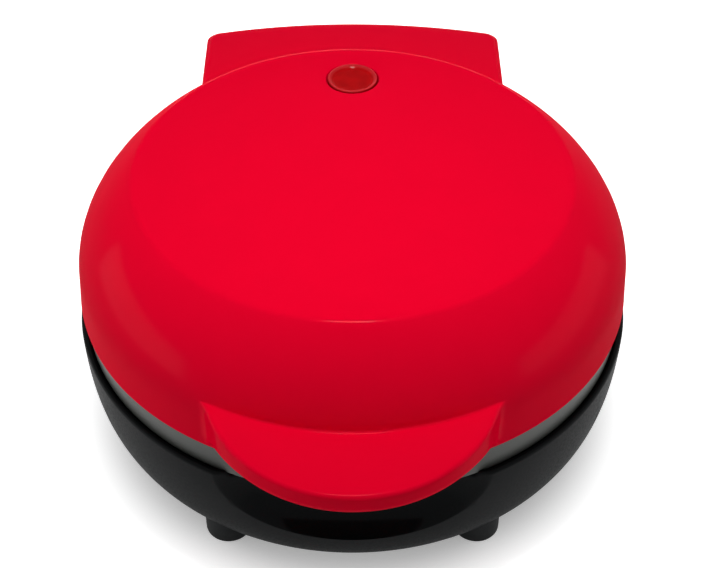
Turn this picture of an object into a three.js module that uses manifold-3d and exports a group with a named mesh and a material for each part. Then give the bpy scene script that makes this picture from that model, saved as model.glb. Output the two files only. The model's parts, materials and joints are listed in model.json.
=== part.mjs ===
import * as THREE from 'three';
import { mergeVertices } from 'three/addons/utils/BufferGeometryUtils.js';
import Module from 'manifold-3d';

const wasm = await Module();
wasm.setup();

// Mini griddle with a hinged lid, in millimetres, +Z up, the lifting tab at the front towards -Y.
// The origin is on the table plane, under the middle of the round body.

// Radius of the round body, and the width from its outside to the edge of the cooking surface
const bowlRadius = 72.9;
const rimWidth = 9.4;

// Heights, from the table up
const footLift = 3.5;
const bowlHeight = 32.5;
const rimToLid = 8;
const lidHeight = 32.6;

// Gaps and small allowances
const seatGap = 0.3;
const overrun = 2;

// Bowl of the base
const bowlWall = 2.3;
const bowlHeelWidth = 15.9;
const bowlFlankShare = 0.52;
const bowlHeelShare = 0.875;
const rimFillet = 0.9;
const rimGroove = 0.6;

// Finger scoop in the front of the bowl
const scoopHalfWidth = 38.5;
const scoopReach = 12;
const scoopDrop = 17;

// Ribs that carry the lower plate's skirt
const ribThickness = 1.6;
const ribDepth = 4.5;
const ribHeight = 12;
const ribAngles = [-24, 0, 24, 156, 180, 204];

// Lid shell
const lidSetback = 0.9;
const lidWall = 2.4;
const lidShoulderWidth = 16;
const lidShoulderInset = 0.6;
const lidSkirtHeight = 7.3;
const shoulderStartDegrees = 36;
const shoulderTopShare = 0.57;
const shoulderSideShare = 0.41;
const lidTopFillet = 1.6;

// Lifting tab, moulded in one with the lid
const tabRadius = 35;
const tabLength = 16.7;
const tabTopHeight = 13;
const tabTipLift = 7;
const tabFillet = 2.6;
const tabWall = 2.4;
const tabRibThickness = 1.4;
const tabRibSpacing = 12;
const tabRibCount = 5;

// Hinge block of the lid, and the block of the base under it
const blockDepth = 16.7;
const blockWidthShare = 0.597;
const blockTaper = 1.2;
const blockBackRadius = 135;
const blockCorner = 2.8;
const blockTopHeight = 20.9;
const blockTopSlope = 0.1;
const blockEdge = 1.8;
const baseBlockInset = 2.2;
const baseBlockCorner = 6;
const baseBlockDrop = 36;
const baseBlockFillet = 4;
const neckTopDrop = 1;
const neckDepth = 17;
const neckGap = 0.6;

// Hinge
const hingeInset = 11.7;
const hingeDrop = 3;
const knuckleRadius = 5.2;
const knuckleGap = 0.8;
const knuckleLength = 13.5;
const pinRadius = 1.5;
const pinEngagement = 8;
const pinHeadRadius = 2.7;
const pinHeadHeight = 1.2;
const openDegrees = 95;
const stopGap = 0.5;

// Passage for the lead through the barrel, and the window into the lid
const ductRadius = 2.6;
const ductOffset = 6;
const windowFrom = 5;
const windowTo = 17;
const lidWindowHeight = 11;

// Cooking plates
const plateDraft = 2;
const plateFloor = 3;
const plateFlange = 2.6;
const plateSkirt = 1.8;
const plateSkirtHeight = 8.5;
const lowerRecess = 6;
const upperRecess = 5;
const plateEdge = 0.8;
const plateWall = 1.5;

// Heating elements and the channel that holds them
const elementInset = 22.5;
const elementRadius = 3.2;
const elementGapDegrees = 30;
const lowerElementLeg = 14;
const upperElementLeg = 8;
const channelWall = 1.5;
const channelHeight = 4;

// Heat shields
const shieldInset = 6.5;
const shieldSheet = 0.8;
const shieldLegHole = 4.4;

// Plate screws and their posts
const postInset = 13.5;
const postRadius = 5;
const postAngles = [-90, 30, 150];
const plateBossRadius = 3.6;
const screwRadius = 1.5;
const screwHeadRadius = 3;
const screwHeadHeight = 2;
const screwBite = 5;
const counterboreDepth = 8;

// Countersunk screws in the upper plate's flange
const flangeScrewRadius = 0.9;
const flangeScrewHead = 1.5;
const flangeScrewLength = 10;
const flangeBossRadius = 2.8;

// Thermostat, its bracket and the thermal fuse
const thermostatRadius = 8;
const bladeWidth = 4;
const bladeThickness = 0.8;
const bladeLength = 7;
const bladeSpacing = 9;
const bracketLength = 40;
const bracketWidth = 5;
const bracketSheet = 1;
const bracketScrewInset = 5;
const smallBossRadius = 3;
const smallScrewRadius = 1.2;
const smallScrewHead = 2.4;
const smallScrewHeadHeight = 1.5;
const smallScrewLength = 7;
const screwCrownShare = 0.7;
const fuseRadius = 2.4;
const fuseLength = 20;
const fuseSetback = 24;
const clipSheet = 0.6;
const clipWidth = 6;
const clipFoot = 4;

// Terminal block and the cord's outlet
const terminalWidth = 24;
const terminalDepth = 11;
const terminalHeight = 10;
const terminalInset = 9.9;
const terminalStand = 4;
const terminalStandRadius = 4;
const terminalPort = 2;
const terminalPortSpacing = 16;
const glandDrop = 25;
const glandRadius = 5;
const glandBore = 3.2;
const glandLip = 1.4;
const glandLipWidth = 1.6;

// Feet
const footOutset = 4.1;
const footDegrees = 58.4;
const footRadius = 6;
const footFillet = 1;
const footStemRadius = 2.4;
const footBarbRadius = 3.4;
const footBossRadius = 6;
const footBossHeight = 6.5;
const footBarbHeight = 3;

// Indicator lens, lamp and holder
const lensInset = 15;
const lensRadius = 7.2;
const lensCrown = 0.9;
const lensFlange = 1.6;
const lensFlangeHeight = 1.4;
const lensSkin = 1.6;
const lensCollar = 4;
const lensCollarWall = 1.8;
const lampRadius = 2.2;
const lampLength = 8;
const holderCup = 6;
const holderWing = 2;
const holderWall = 1;
const holderScrewSpacing = 27;

// Roundness
const bodySides = 36;
const tabSides = 32;
const smallSides = 8;
const footSides = 12;
const lensSides = 20;
const screwSides = 6;
const scoopSides = 24;
const elementSides = 6;
const elementSteps = 24;

// Radii and distances from the upright axis that follow from the sizes above
const cookingRadius = bowlRadius - rimWidth;
const bowlFloorRadius = bowlRadius - bowlHeelWidth;
const lidRadius = bowlRadius - lidSetback;
const lidTopRadius = lidRadius - lidShoulderWidth;
const plateRadius = bowlRadius - bowlWall - rimGroove;
const upperPlateRadius = lidRadius - lidWall - seatGap;
const elementRing = cookingRadius - elementInset;
const shieldRadius = cookingRadius - shieldInset;
const postCircle = cookingRadius - postInset;
const footCircle = bowlFloorRadius + footOutset;
const tabReach = lidRadius + tabLength;
const tabCentre = -(tabReach - tabRadius);
const blockReach = lidRadius + blockDepth;
const blockHalfWidth = bowlRadius * blockWidthShare;
const barrelHalfLength = blockHalfWidth - knuckleLength;
const blockRoot = Math.sqrt(lidTopRadius ** 2 - (blockHalfWidth - blockTaper) ** 2);
const hingeSetback = blockReach - hingeInset;
const glandWallY = blockReach - baseBlockInset;
const terminalSetback = bowlRadius - terminalInset;
const lensSetback = lidTopRadius - lensInset;
const bracketScrewSpacing = bracketLength - 2 * bracketScrewInset;

// Heights that follow from the sizes above
const rimZ = footLift + bowlHeight;
const partingZ = rimZ + rimToLid;
const lidTopZ = partingZ + lidHeight;
const lowerPlateTopZ = partingZ - seatGap;
const lowerPlateFloorZ = lowerPlateTopZ - lowerRecess;
const lowerPlateBottomZ = lowerPlateFloorZ - plateFloor;
const lowerShieldTopZ = lowerPlateBottomZ - 2 * elementRadius - 2 * seatGap;
const lowerShieldBottomZ = lowerShieldTopZ - shieldSheet;
const upperPlateFloorZ = partingZ + upperRecess;
const upperPlateBackZ = upperPlateFloorZ + plateFloor;
const upperShieldBottomZ = upperPlateBackZ + 2 * elementRadius + 2 * seatGap;
const upperShieldTopZ = upperShieldBottomZ + shieldSheet;
const hingeZ = partingZ - hingeDrop;
const baseBlockBottomZ = partingZ - baseBlockDrop;
const bowlFloorTopZ = footLift + bowlWall;
const lowerScrewTipZ = lowerShieldTopZ + seatGap + screwBite;
const bracketBottomZ = lowerShieldBottomZ - seatGap - bracketSheet;
const fuseZ = lowerShieldBottomZ - seatGap - fuseRadius;
const glandZ = partingZ - glandDrop;
const terminalBottomZ = baseBlockBottomZ + bowlWall + terminalStand;
const terminalBoreLowZ = terminalBottomZ + terminalHeight / 2 - smallScrewLength;
const lensCollarZ = lidTopZ - lidWall - lensCollar;
const lensFlangeTopZ = lensCollarZ - seatGap;
const lensFlangeBottomZ = lensFlangeTopZ - lensFlangeHeight;
const holderBottomZ = lensFlangeBottomZ - seatGap - holderWing;
const holderScrewPlaces = [-1, 1].map((side) => [(side * holderScrewSpacing) / 2, lensSetback]);

const vec2 = (x, y) => new THREE.Vector2(x, y);
const vec3 = (x, y, z) => new THREE.Vector3(x, y, z);
const radians = THREE.MathUtils.degToRad;

// Solids: closed meshes that can be joined and cut

function solidOf(geometry) {
  const bare = geometry.clone();
  bare.deleteAttribute('normal');
  bare.deleteAttribute('uv');
  const merged = mergeVertices(bare);
  const corners = merged.index.array;
  const kept = [];
  for (let i = 0; i < corners.length; i += 3) {
    const [a, b, c] = corners.slice(i, i + 3);
    if (a !== b && b !== c && c !== a) kept.push(a, b, c);
  }
  return new wasm.Manifold(new wasm.Mesh({
    numProp: 3,
    vertProperties: Float32Array.from(merged.attributes.position.array),
    triVerts: Uint32Array.from(kept),
  }));
}

function geometryOf(solid) {
  const mesh = solid.getMesh();
  const geometry = new THREE.BufferGeometry();
  geometry.setAttribute('position', new THREE.BufferAttribute(mesh.vertProperties, 3));
  geometry.setIndex(new THREE.BufferAttribute(mesh.triVerts, 1));
  geometry.computeVertexNormals();
  return geometry;
}

const joined = (...solids) => solids.reduce((sum, solid) => sum.add(solid));
const cut = (solid, ...cutters) => cutters.reduce((rest, cutter) => rest.subtract(cutter), solid);

// A profile of radius and height points, turned about the upright axis through (x, y)
function turned(profile, sides, x = 0, y = 0) {
  const geometry = new THREE.LatheGeometry(profile, sides);
  geometry.rotateX(Math.PI / 2);
  geometry.translate(x, y, 0);
  return geometry;
}

// An upright rod between two heights
function rod(radius, low, high, x = 0, y = 0, sides = smallSides) {
  const geometry = new THREE.CylinderGeometry(radius, radius, high - low, sides);
  geometry.rotateX(Math.PI / 2);
  geometry.translate(x, y, (low + high) / 2);
  return geometry;
}

// A rod along X between two places
function rodAlongX(radius, from, to, y, z, sides = smallSides) {
  const geometry = new THREE.CylinderGeometry(radius, radius, to - from, sides);
  geometry.rotateZ(Math.PI / 2);
  geometry.translate((from + to) / 2, y, z);
  return geometry;
}

// A rod along Y between two places
function rodAlongY(radius, from, to, x, z, sides = smallSides) {
  const geometry = new THREE.CylinderGeometry(radius, radius, to - from, sides);
  geometry.translate(x, (from + to) / 2, z);
  return geometry;
}

// A straight rod between two points
function rodBetween(radius, start, end, sides = smallSides) {
  const along = end.clone().sub(start);
  const geometry = new THREE.CylinderGeometry(radius, radius, along.length(), sides);
  const turn = new THREE.Quaternion().setFromUnitVectors(vec3(0, 1, 0), along.clone().normalize());
  geometry.applyQuaternion(turn);
  const middle = start.clone().add(end).multiplyScalar(0.5);
  geometry.translate(middle.x, middle.y, middle.z);
  return geometry;
}

// A box from its lowest to its highest corner
function box(low, high) {
  const size = high.clone().sub(low);
  const geometry = new THREE.BoxGeometry(size.x, size.y, size.z);
  const middle = low.clone().add(high).multiplyScalar(0.5);
  geometry.translate(middle.x, middle.y, middle.z);
  return geometry;
}

// A flat outline in X and Y, raised from one height to another
function slab(shape, low, high, curveSegments = 4) {
  const depth = high - low;
  const geometry = new THREE.ExtrudeGeometry(shape, { depth, bevelEnabled: false, curveSegments });
  geometry.translate(0, 0, low);
  return geometry;
}

// The same with rounded top and bottom edges
function softSlab(shape, low, high, edge) {
  const geometry = new THREE.ExtrudeGeometry(shape, {
    depth: high - low - 2 * edge,
    bevelThickness: edge,
    bevelSize: edge,
    bevelOffset: -edge,
    bevelSegments: 2,
    curveSegments: 4,
  });
  geometry.translate(0, 0, low + edge);
  return geometry;
}

// A flat outline in Y and Z, drawn out along X
function slabAlongX(points, from, to) {
  const shape = new THREE.Shape(points);
  const geometry = new THREE.ExtrudeGeometry(shape, { depth: to - from, bevelEnabled: false });
  geometry.applyMatrix4(new THREE.Matrix4().makeBasis(vec3(0, 1, 0), vec3(0, 0, 1), vec3(1, 0, 0)));
  geometry.translate(from, 0, 0);
  return geometry;
}

// A quarter round in a profile, between two directions given in degrees
function roundedCorner(x, y, radius, fromDegrees, toDegrees, steps = 2) {
  return Array.from({ length: steps + 1 }, (_, i) => {
    const angle = radians(fromDegrees + ((toDegrees - fromDegrees) * i) / steps);
    return vec2(x + radius * Math.cos(angle), y + radius * Math.sin(angle));
  });
}

// A profile moved towards its left side, which is inwards on an outer wall that climbs
function inset(points, distance) {
  return points.map((point, i) => {
    const before = points[Math.max(i - 1, 0)];
    const after = points[Math.min(i + 1, points.length - 1)];
    const along = after.clone().sub(before).normalize();
    return vec2(point.x - along.y * distance, point.y + along.x * distance);
  });
}

function around(radius, degrees) {
  return [radius * Math.cos(radians(degrees)), radius * Math.sin(radians(degrees))];
}

// Materials, with the colours that the object shows

function finish(color, roughness, metalness = 0) {
  return new THREE.MeshStandardMaterial({ color, roughness, metalness });
}

const redPlastic = finish('#e60029', 0.28);
const blackPlastic = finish('#2f3130', 0.45);
const redLens = finish('#b50106', 0.15);
const platedCoat = finish('#52534f', 0.5, 0.2);
const shieldSteel = finish('#b9bbb8', 0.4, 0.9);
const elementSteel = finish('#6d6a64', 0.45, 0.8);
const screwSteel = finish('#c4c5c3', 0.3, 1);
const footRubber = finish('#131617', 0.85);
const blackNylon = finish('#1e1f20', 0.55);
const whiteNylon = finish('#e9e6dc', 0.5);
const glassClear = finish('#f2e6d8', 0.1);
const fuseSleeve = finish('#d9d2bd', 0.8);

// Curves of the two shells

// The bowl's outer wall from its flat floor up to the rim, set out by a distance
function bowlWallCurve(distance) {
  const flank = bowlHeight * bowlFlankShare;
  const heel = (bowlRadius - bowlFloorRadius) * bowlHeelShare;
  const curve = new THREE.CubicBezierCurve(
    vec2(bowlFloorRadius, footLift),
    vec2(bowlFloorRadius + heel, footLift),
    vec2(bowlRadius, rimZ - flank),
    vec2(bowlRadius, rimZ),
  );
  return inset(curve.getPoints(6), distance);
}

function bowlOutside() {
  const wall = bowlWallCurve(0).slice(0, -1);
  const rim = roundedCorner(bowlRadius - rimFillet, rimZ - rimFillet, rimFillet, 0, 90);
  return turned([vec2(0, footLift), ...wall, ...rim, vec2(0, rimZ)], bodySides);
}

function bowlInside() {
  const wall = bowlWallCurve(bowlWall);
  const last = wall[wall.length - 1];
  const top = rimZ + overrun;
  return turned([vec2(0, bowlFloorTopZ), ...wall, vec2(last.x, top), vec2(0, top)], bodySides);
}

// The lid's outer wall from its lower edge up to the crown, set in by a distance
function lidWallCurve(distance) {
  const shoulderRadius = lidRadius - lidShoulderInset;
  const shoulderZ = partingZ + lidSkirtHeight;
  const slope = radians(shoulderStartDegrees);
  const topPull = (shoulderRadius - lidTopRadius) * shoulderTopShare;
  const sidePull = (lidHeight - lidSkirtHeight) * shoulderSideShare;
  const curve = new THREE.CubicBezierCurve(
    vec2(shoulderRadius, shoulderZ),
    vec2(shoulderRadius, shoulderZ + sidePull),
    vec2(lidTopRadius + topPull * Math.cos(slope), lidTopZ - topPull * Math.sin(slope)),
    vec2(lidTopRadius, lidTopZ),
  );
  const points = curve.getPoints(6);
  const lead = lidTopFillet * Math.tan(slope / 2);
  const centre = vec2(lidTopRadius - lead, lidTopZ - lidTopFillet);
  const crown = roundedCorner(centre.x, centre.y, lidTopFillet, 90 - shoulderStartDegrees, 90, 2);
  return inset([vec2(lidRadius, partingZ), ...points.slice(0, -1), ...crown], distance);
}

const lidOutside = () => turned([vec2(0, partingZ), ...lidWallCurve(0), vec2(0, lidTopZ)], bodySides);

function lidInside() {
  const wall = lidWallCurve(lidWall);
  const low = partingZ - overrun;
  return turned([vec2(0, low), vec2(wall[0].x, low), ...wall, vec2(0, lidTopZ - lidWall)], bodySides);
}

// Outline of the hinge block seen from above: sides that widen to the back, round corners and a bowed back
function blockOutline(margin, corner) {
  const half = blockHalfWidth - margin;
  const rootHalf = half - blockTaper;
  const shoulder = half - corner;
  const bow = blockBackRadius - margin;
  const bowCentre = blockReach - blockBackRadius;
  const backAtShoulder = bowCentre + Math.sqrt(bow * bow - shoulder * shoulder);
  const bowHalfAngle = Math.asin(shoulder / bow);
  const shape = new THREE.Shape();
  shape.moveTo(-rootHalf, blockRoot);
  shape.lineTo(rootHalf, blockRoot);
  shape.lineTo(half, backAtShoulder - corner);
  shape.quadraticCurveTo(half, backAtShoulder, shoulder, backAtShoulder);
  shape.absarc(0, bowCentre, bow, Math.PI / 2 - bowHalfAngle, Math.PI / 2 + bowHalfAngle, false);
  shape.quadraticCurveTo(-half, backAtShoulder, -half, backAtShoulder - corner);
  shape.closePath();
  return shape;
}

// Lean of the hinge block's top, down towards the back
function leaned(geometry) {
  geometry.applyMatrix4(new THREE.Matrix4().makeShear(0, 0, 0, -blockTopSlope, 0, 0));
  geometry.translate(0, 0, blockTopSlope * blockReach);
  return geometry;
}

// A place on the plane that the lid's back wall reaches when the lid is open
function openPlane(distance, along) {
  const angle = radians(openDegrees);
  return vec2(
    hingeSetback + distance * Math.cos(angle) + along * Math.sin(angle),
    hingeZ - distance * Math.sin(angle) + along * Math.cos(angle),
  );
}

// Base

function baseBlock(margin, corner, edge, topDistance) {
  const low = baseBlockBottomZ + margin - baseBlockInset;
  const body = solidOf(softSlab(blockOutline(margin, corner), low, partingZ, edge));
  const above = [
    openPlane(topDistance, -bowlRadius),
    openPlane(topDistance, bowlRadius),
    openPlane(-bowlRadius, bowlRadius),
    openPlane(-bowlRadius, -bowlRadius),
  ];
  return cut(body, solidOf(slabAlongX(above, -bowlRadius, bowlRadius)));
}

// The neck that joins the hinge barrel to the bowl, clear of the lid's swinging back wall
function hingeNeck() {
  const half = barrelHalfLength;
  const bow = (half * half) / (2 * blockBackRadius);
  const swing = blockReach - lidWall - hingeSetback - bow - neckGap;
  const back = openPlane(blockReach - hingeSetback, 0).x - neckGap;
  const outline = [
    vec2(blockRoot, hingeZ - neckDepth),
    vec2(back, hingeZ - neckDepth),
    vec2(back, hingeZ - swing + neckGap),
    vec2(hingeSetback + knuckleRadius / 2, hingeZ - knuckleRadius / 2),
    vec2(hingeSetback, partingZ - neckTopDrop),
    vec2(blockRoot, partingZ - neckTopDrop),
  ];
  const core = [
    vec2(blockRoot, hingeZ - neckDepth),
    vec2(back - bowlWall, hingeZ - neckDepth),
    vec2(back - bowlWall, partingZ - neckTopDrop - bowlWall),
    vec2(blockRoot, partingZ - neckTopDrop - bowlWall),
  ];
  const bowl = rod(bowlRadius, footLift, partingZ, 0, 0, bodySides);
  const hollow = cut(solidOf(slabAlongX(core, bowlWall - half, half - bowlWall)), solidOf(bowl));
  return cut(solidOf(slabAlongX(outline, -half, half)), hollow);
}

function hingeBarrel() {
  return solidOf(rodAlongX(knuckleRadius, -barrelHalfLength, barrelHalfLength, hingeSetback, hingeZ));
}

// The way of the lead: down the neck, along the barrel and out through a window in its top
function leadPassage() {
  const reach = hingeSetback - bowlRadius + bowlWall + 2 * ductRadius;
  const axis = vec3(-ductOffset, hingeSetback, hingeZ);
  const mouth = vec3(-ductOffset, hingeSetback - reach, hingeZ - reach);
  const bore = rodAlongX(ductRadius, -ductOffset - ductRadius, windowTo, hingeSetback, hingeZ);
  const low = vec3(windowFrom, hingeSetback - knuckleRadius - overrun, hingeZ - ductRadius / 2);
  const high = vec3(windowTo, hingeSetback + knuckleRadius + overrun, hingeZ + knuckleRadius + overrun);
  return joined(solidOf(rodBetween(ductRadius, axis, mouth)), solidOf(bore), solidOf(box(low, high)));
}

// The space that the lower plate fills, with its gap
function lowerPlateRoom() {
  const step = plateNeckRadius(lowerRecess) + seatGap;
  const outer = plateRadius + rimGroove;
  const skirtZ = lowerPlateTopZ - plateSkirtHeight - seatGap;
  const floorZ = lowerPlateBottomZ - seatGap;
  const top = partingZ + overrun;
  const profile = [
    vec2(0, floorZ),
    vec2(step, floorZ),
    vec2(step, skirtZ),
    vec2(outer, skirtZ),
    vec2(outer, top),
    vec2(0, top),
  ];
  return solidOf(turned(profile, bodySides));
}

// The finger scoop: a lying ellipsoid let into the bowl's front at the height of the rim
function scoop(wall) {
  const geometry = new THREE.SphereGeometry(1, scoopSides, scoopSides / 2);
  geometry.rotateX(Math.PI / 2);
  geometry.scale(scoopHalfWidth + wall, scoopReach + wall, scoopDrop + wall);
  geometry.translate(0, -bowlRadius, rimZ);
  return solidOf(geometry);
}

function plateRib(degrees) {
  const outer = bowlRadius - bowlWall / 2;
  const top = lowerPlateTopZ - plateSkirtHeight - seatGap;
  const low = vec3(outer - ribDepth - bowlWall / 2, -ribThickness / 2, top - ribHeight);
  const geometry = box(low, vec3(outer, ribThickness / 2, top));
  geometry.rotateZ(radians(degrees));
  return solidOf(geometry);
}

const footPlaces = [
  ['foot_front_left', ...around(footCircle, 180 + footDegrees)],
  ['foot_front_right', ...around(footCircle, -footDegrees)],
  ['foot_rear_left', ...around(footCircle, 180 - footDegrees)],
  ['foot_rear_right', ...around(footCircle, footDegrees)],
];
const screwPlaces = postAngles.map((degrees) => around(postCircle, degrees));
const bracketPlaces = [-1, 1].map((side) => [(side * bracketScrewSpacing) / 2, 0]);
const footBossTopZ = footLift + footBossHeight;
const postTopZ = lowerShieldBottomZ - seatGap;
const counterboreZ = footLift + counterboreDepth;

function baseHousing() {
  const outside = joined(
    solidOf(bowlOutside()),
    baseBlock(baseBlockInset, baseBlockCorner, baseBlockFillet, blockReach - hingeSetback + stopGap),
    hingeNeck(),
    hingeBarrel(),
  );
  const innerMargin = baseBlockInset + bowlWall;
  const innerTop = blockReach - hingeSetback + stopGap + bowlWall;
  const innerBlock = baseBlock(innerMargin, baseBlockCorner - bowlWall, baseBlockFillet - bowlWall, innerTop);
  const pocket = scoop(bowlWall).intersect(solidOf(bowlOutside()));
  const hollow = cut(joined(solidOf(bowlInside()), innerBlock), pocket);
  const shell = cut(outside, hollow);

  const fittings = joined(
    ...footPlaces.map(([, x, y]) => solidOf(rod(footBossRadius, footLift, footBossTopZ, x, y))),
    ...screwPlaces.map(([x, y]) => solidOf(rod(postRadius, footLift, postTopZ, x, y))),
    solidOf(rod(terminalStandRadius, footLift, terminalBottomZ - seatGap, 0, terminalSetback)),
    ...ribAngles.map(plateRib),
  ).intersect(solidOf(bowlOutside()));

  const bores = joined(
    ...footPlaces.map(([, x, y]) => solidOf(rod(footStemRadius + seatGap, 0, partingZ, x, y))),
    ...screwPlaces.flatMap(([x, y]) => {
      const shank = solidOf(rod(screwRadius + seatGap, 0, partingZ, x, y));
      return [shank, solidOf(rod(screwHeadRadius + seatGap, 0, counterboreZ, x, y))];
    }),
    ...[-1, 1].map((side) => {
      const inner = side * (barrelHalfLength - pinEngagement - seatGap);
      const outer = side * (barrelHalfLength + overrun);
      const radius = pinRadius + seatGap;
      return solidOf(rodAlongX(radius, Math.min(inner, outer), Math.max(inner, outer), hingeSetback, hingeZ));
    }),
    solidOf(rodAlongY(glandRadius + seatGap, glandWallY - bowlWall - overrun, blockReach, 0, glandZ)),
    solidOf(rod(smallScrewRadius + seatGap, terminalBoreLowZ, partingZ, 0, terminalSetback)),
  );
  return cut(joined(shell, fittings), bores, scoop(0), lowerPlateRoom(), leadPassage());
}

// A rubber foot, its top shaped to the bowl, with a barbed stem through the floor
function foot(x, y) {
  const barbZ = footBossTopZ + seatGap;
  const pad = [
    vec2(0, 0),
    vec2(footRadius - footFillet, 0),
    ...roundedCorner(footRadius - footFillet, footFillet, footFillet, -90, 0),
    vec2(footRadius, footBossTopZ),
    vec2(0, footBossTopZ),
  ];
  const wall = bowlWallCurve(-seatGap);
  const bowl = solidOf(turned([vec2(0, footLift - seatGap), ...wall, vec2(0, rimZ)], bodySides));
  const stem = [
    vec2(0, footFillet),
    vec2(footStemRadius, footFillet),
    vec2(footStemRadius, barbZ),
    vec2(footBarbRadius, barbZ),
    vec2(footStemRadius, barbZ + footBarbHeight),
    vec2(0, barbZ + footBarbHeight),
  ];
  const padSolid = cut(solidOf(turned(pad, footSides, x, y)), bowl);
  return joined(padSolid, solidOf(turned(stem, smallSides, x, y)));
}

// Screws, drawn at the origin with the seat of the head at height zero

// A round-headed screw that points up when its direction is 1 and down when it is -1
function screw(radius, headRadius, headHeight, length, direction) {
  const crown = headRadius * screwCrownShare;
  const profile = [
    vec2(0, -headHeight),
    vec2(crown, -headHeight),
    vec2(headRadius, -headHeight / 2),
    vec2(headRadius, 0),
    vec2(radius, 0),
    vec2(radius, length - radius),
    vec2(radius / 2, length),
    vec2(0, length),
  ];
  const geometry = new THREE.LatheGeometry(profile, screwSides);
  geometry.rotateX((direction * Math.PI) / 2);
  return geometry;
}

// A countersunk screw that points up, its flat head flush with height zero
function countersunkScrew(radius, headRadius, length) {
  const profile = [
    vec2(0, 0),
    vec2(headRadius, 0),
    vec2(radius, headRadius - radius),
    vec2(radius, length - radius),
    vec2(radius / 2, length),
    vec2(0, length),
  ];
  const geometry = new THREE.LatheGeometry(profile, screwSides);
  geometry.rotateX(Math.PI / 2);
  return geometry;
}

// Cooking plates

// Radius of a plate's back at the depth of its floor, which follows the draft of the recess
function plateBackRadius(depth) {
  return cookingRadius - plateDraft + plateWall + (plateDraft * plateFloor) / (2 * depth);
}

// Radius of a plate's back where it meets the flange
function plateNeckRadius(depth) {
  const topZ = plateFloor + depth;
  return plateBackRadius(depth) + plateDraft * ((topZ - plateFlange) / topZ);
}

// Half profile of a plate with the floor's back at height zero, the recess opening upwards
function plateProfile(depth, outerRadius, skirtHeight) {
  const topZ = plateFloor + depth;
  const flangeZ = topZ - plateFlange;
  const back = plateBackRadius(depth);
  const channelInner = elementRing - elementRadius - seatGap;
  const channelOuter = elementRing + elementRadius + seatGap;
  const rib = (near, far) => {
    return [vec2(near, 0), vec2(near, -channelHeight), vec2(far, -channelHeight), vec2(far, 0)];
  };
  const skirt = [
    vec2(outerRadius - plateSkirt, flangeZ),
    vec2(outerRadius - plateSkirt, topZ - skirtHeight),
    vec2(outerRadius, topZ - skirtHeight),
  ];
  const edge = roundedCorner(outerRadius - plateEdge, topZ - plateEdge, plateEdge, 0, 90, 1);
  const floorRadius = cookingRadius - plateDraft;
  const corner = vec2(floorRadius - plateEdge, plateFloor + plateEdge);
  return [
    vec2(0, 0),
    ...rib(channelInner - channelWall, channelInner),
    ...rib(channelOuter, channelOuter + channelWall),
    vec2(back, 0),
    vec2(plateNeckRadius(depth), flangeZ),
    ...(skirtHeight > plateFlange ? skirt : [vec2(outerRadius, flangeZ)]),
    ...edge,
    vec2(cookingRadius, topZ),
    ...roundedCorner(corner.x, corner.y, plateEdge, 0, -90, 1),
    vec2(0, plateFloor),
  ];
}

function lowerPlate() {
  const profile = plateProfile(lowerRecess, plateRadius, plateSkirtHeight);
  const plate = turned(profile, bodySides);
  plate.translate(0, 0, lowerPlateBottomZ);
  const bossZ = lowerShieldTopZ + seatGap;
  const rootZ = lowerPlateBottomZ + plateFloor / 2;
  const bosses = [
    ...screwPlaces.map(([x, y]) => solidOf(rod(plateBossRadius, bossZ, rootZ, x, y))),
    ...bracketPlaces.map(([x, y]) => solidOf(rod(smallBossRadius, bossZ, rootZ, x, y))),
  ];
  const holes = [
    ...screwPlaces.map(([x, y]) => {
      return solidOf(rod(screwRadius + seatGap, bossZ - overrun, lowerScrewTipZ + seatGap, x, y));
    }),
    ...bracketPlaces.map(([x, y]) => {
      const radius = smallScrewRadius + seatGap;
      return solidOf(rod(radius, bossZ - overrun, bracketBottomZ + smallScrewLength + seatGap, x, y));
    }),
  ];
  return cut(joined(solidOf(plate), ...bosses), ...holes);
}

const flangeScrewCircle = (plateNeckRadius(upperRecess) + upperPlateRadius) / 2;
const flangeScrewPlaces = postAngles.map((degrees) => around(flangeScrewCircle, degrees));

function upperPlate() {
  const profile = plateProfile(upperRecess, upperPlateRadius, plateFlange);
  const plate = turned(profile, bodySides);
  plate.rotateX(Math.PI);
  plate.translate(0, 0, upperPlateBackZ);
  const bossZ = upperShieldBottomZ - seatGap;
  const rootZ = upperPlateBackZ - plateFloor / 2;
  const bosses = screwPlaces.map(([x, y]) => solidOf(rod(plateBossRadius, rootZ, bossZ, x, y)));
  const holes = [
    ...screwPlaces.map(([x, y]) => {
      const low = upperShieldTopZ - smallScrewLength;
      return solidOf(rod(smallScrewRadius + seatGap, low, bossZ + overrun, x, y));
    }),
    ...flangeScrewPlaces.map(([x, y]) => {
      const top = partingZ + plateFlange + overrun;
      const shank = solidOf(rod(flangeScrewRadius + seatGap, partingZ - overrun, top, x, y));
      const head = turned([
        vec2(0, partingZ - overrun),
        vec2(flangeScrewHead + seatGap + overrun, partingZ - overrun),
        vec2(flangeScrewRadius + seatGap, partingZ + flangeScrewHead - flangeScrewRadius),
        vec2(0, partingZ + flangeScrewHead - flangeScrewRadius),
      ], smallSides, x, y);
      return joined(shank, solidOf(head));
    }),
  ];
  return cut(joined(solidOf(plate), ...bosses), ...holes);
}

// The space behind the upper plate, with its gap
function upperPlateRoom() {
  const neck = plateNeckRadius(upperRecess) + seatGap;
  const flangeZ = partingZ + plateFlange + seatGap;
  const profile = [
    vec2(0, partingZ - overrun),
    vec2(lidRadius - lidWall, partingZ - overrun),
    vec2(lidRadius - lidWall, flangeZ),
    vec2(neck, flangeZ),
    vec2(plateBackRadius(upperRecess) + seatGap, upperPlateBackZ + seatGap),
    vec2(0, upperPlateBackZ + seatGap),
  ];
  return solidOf(turned(profile, bodySides));
}

// Heating elements

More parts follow.
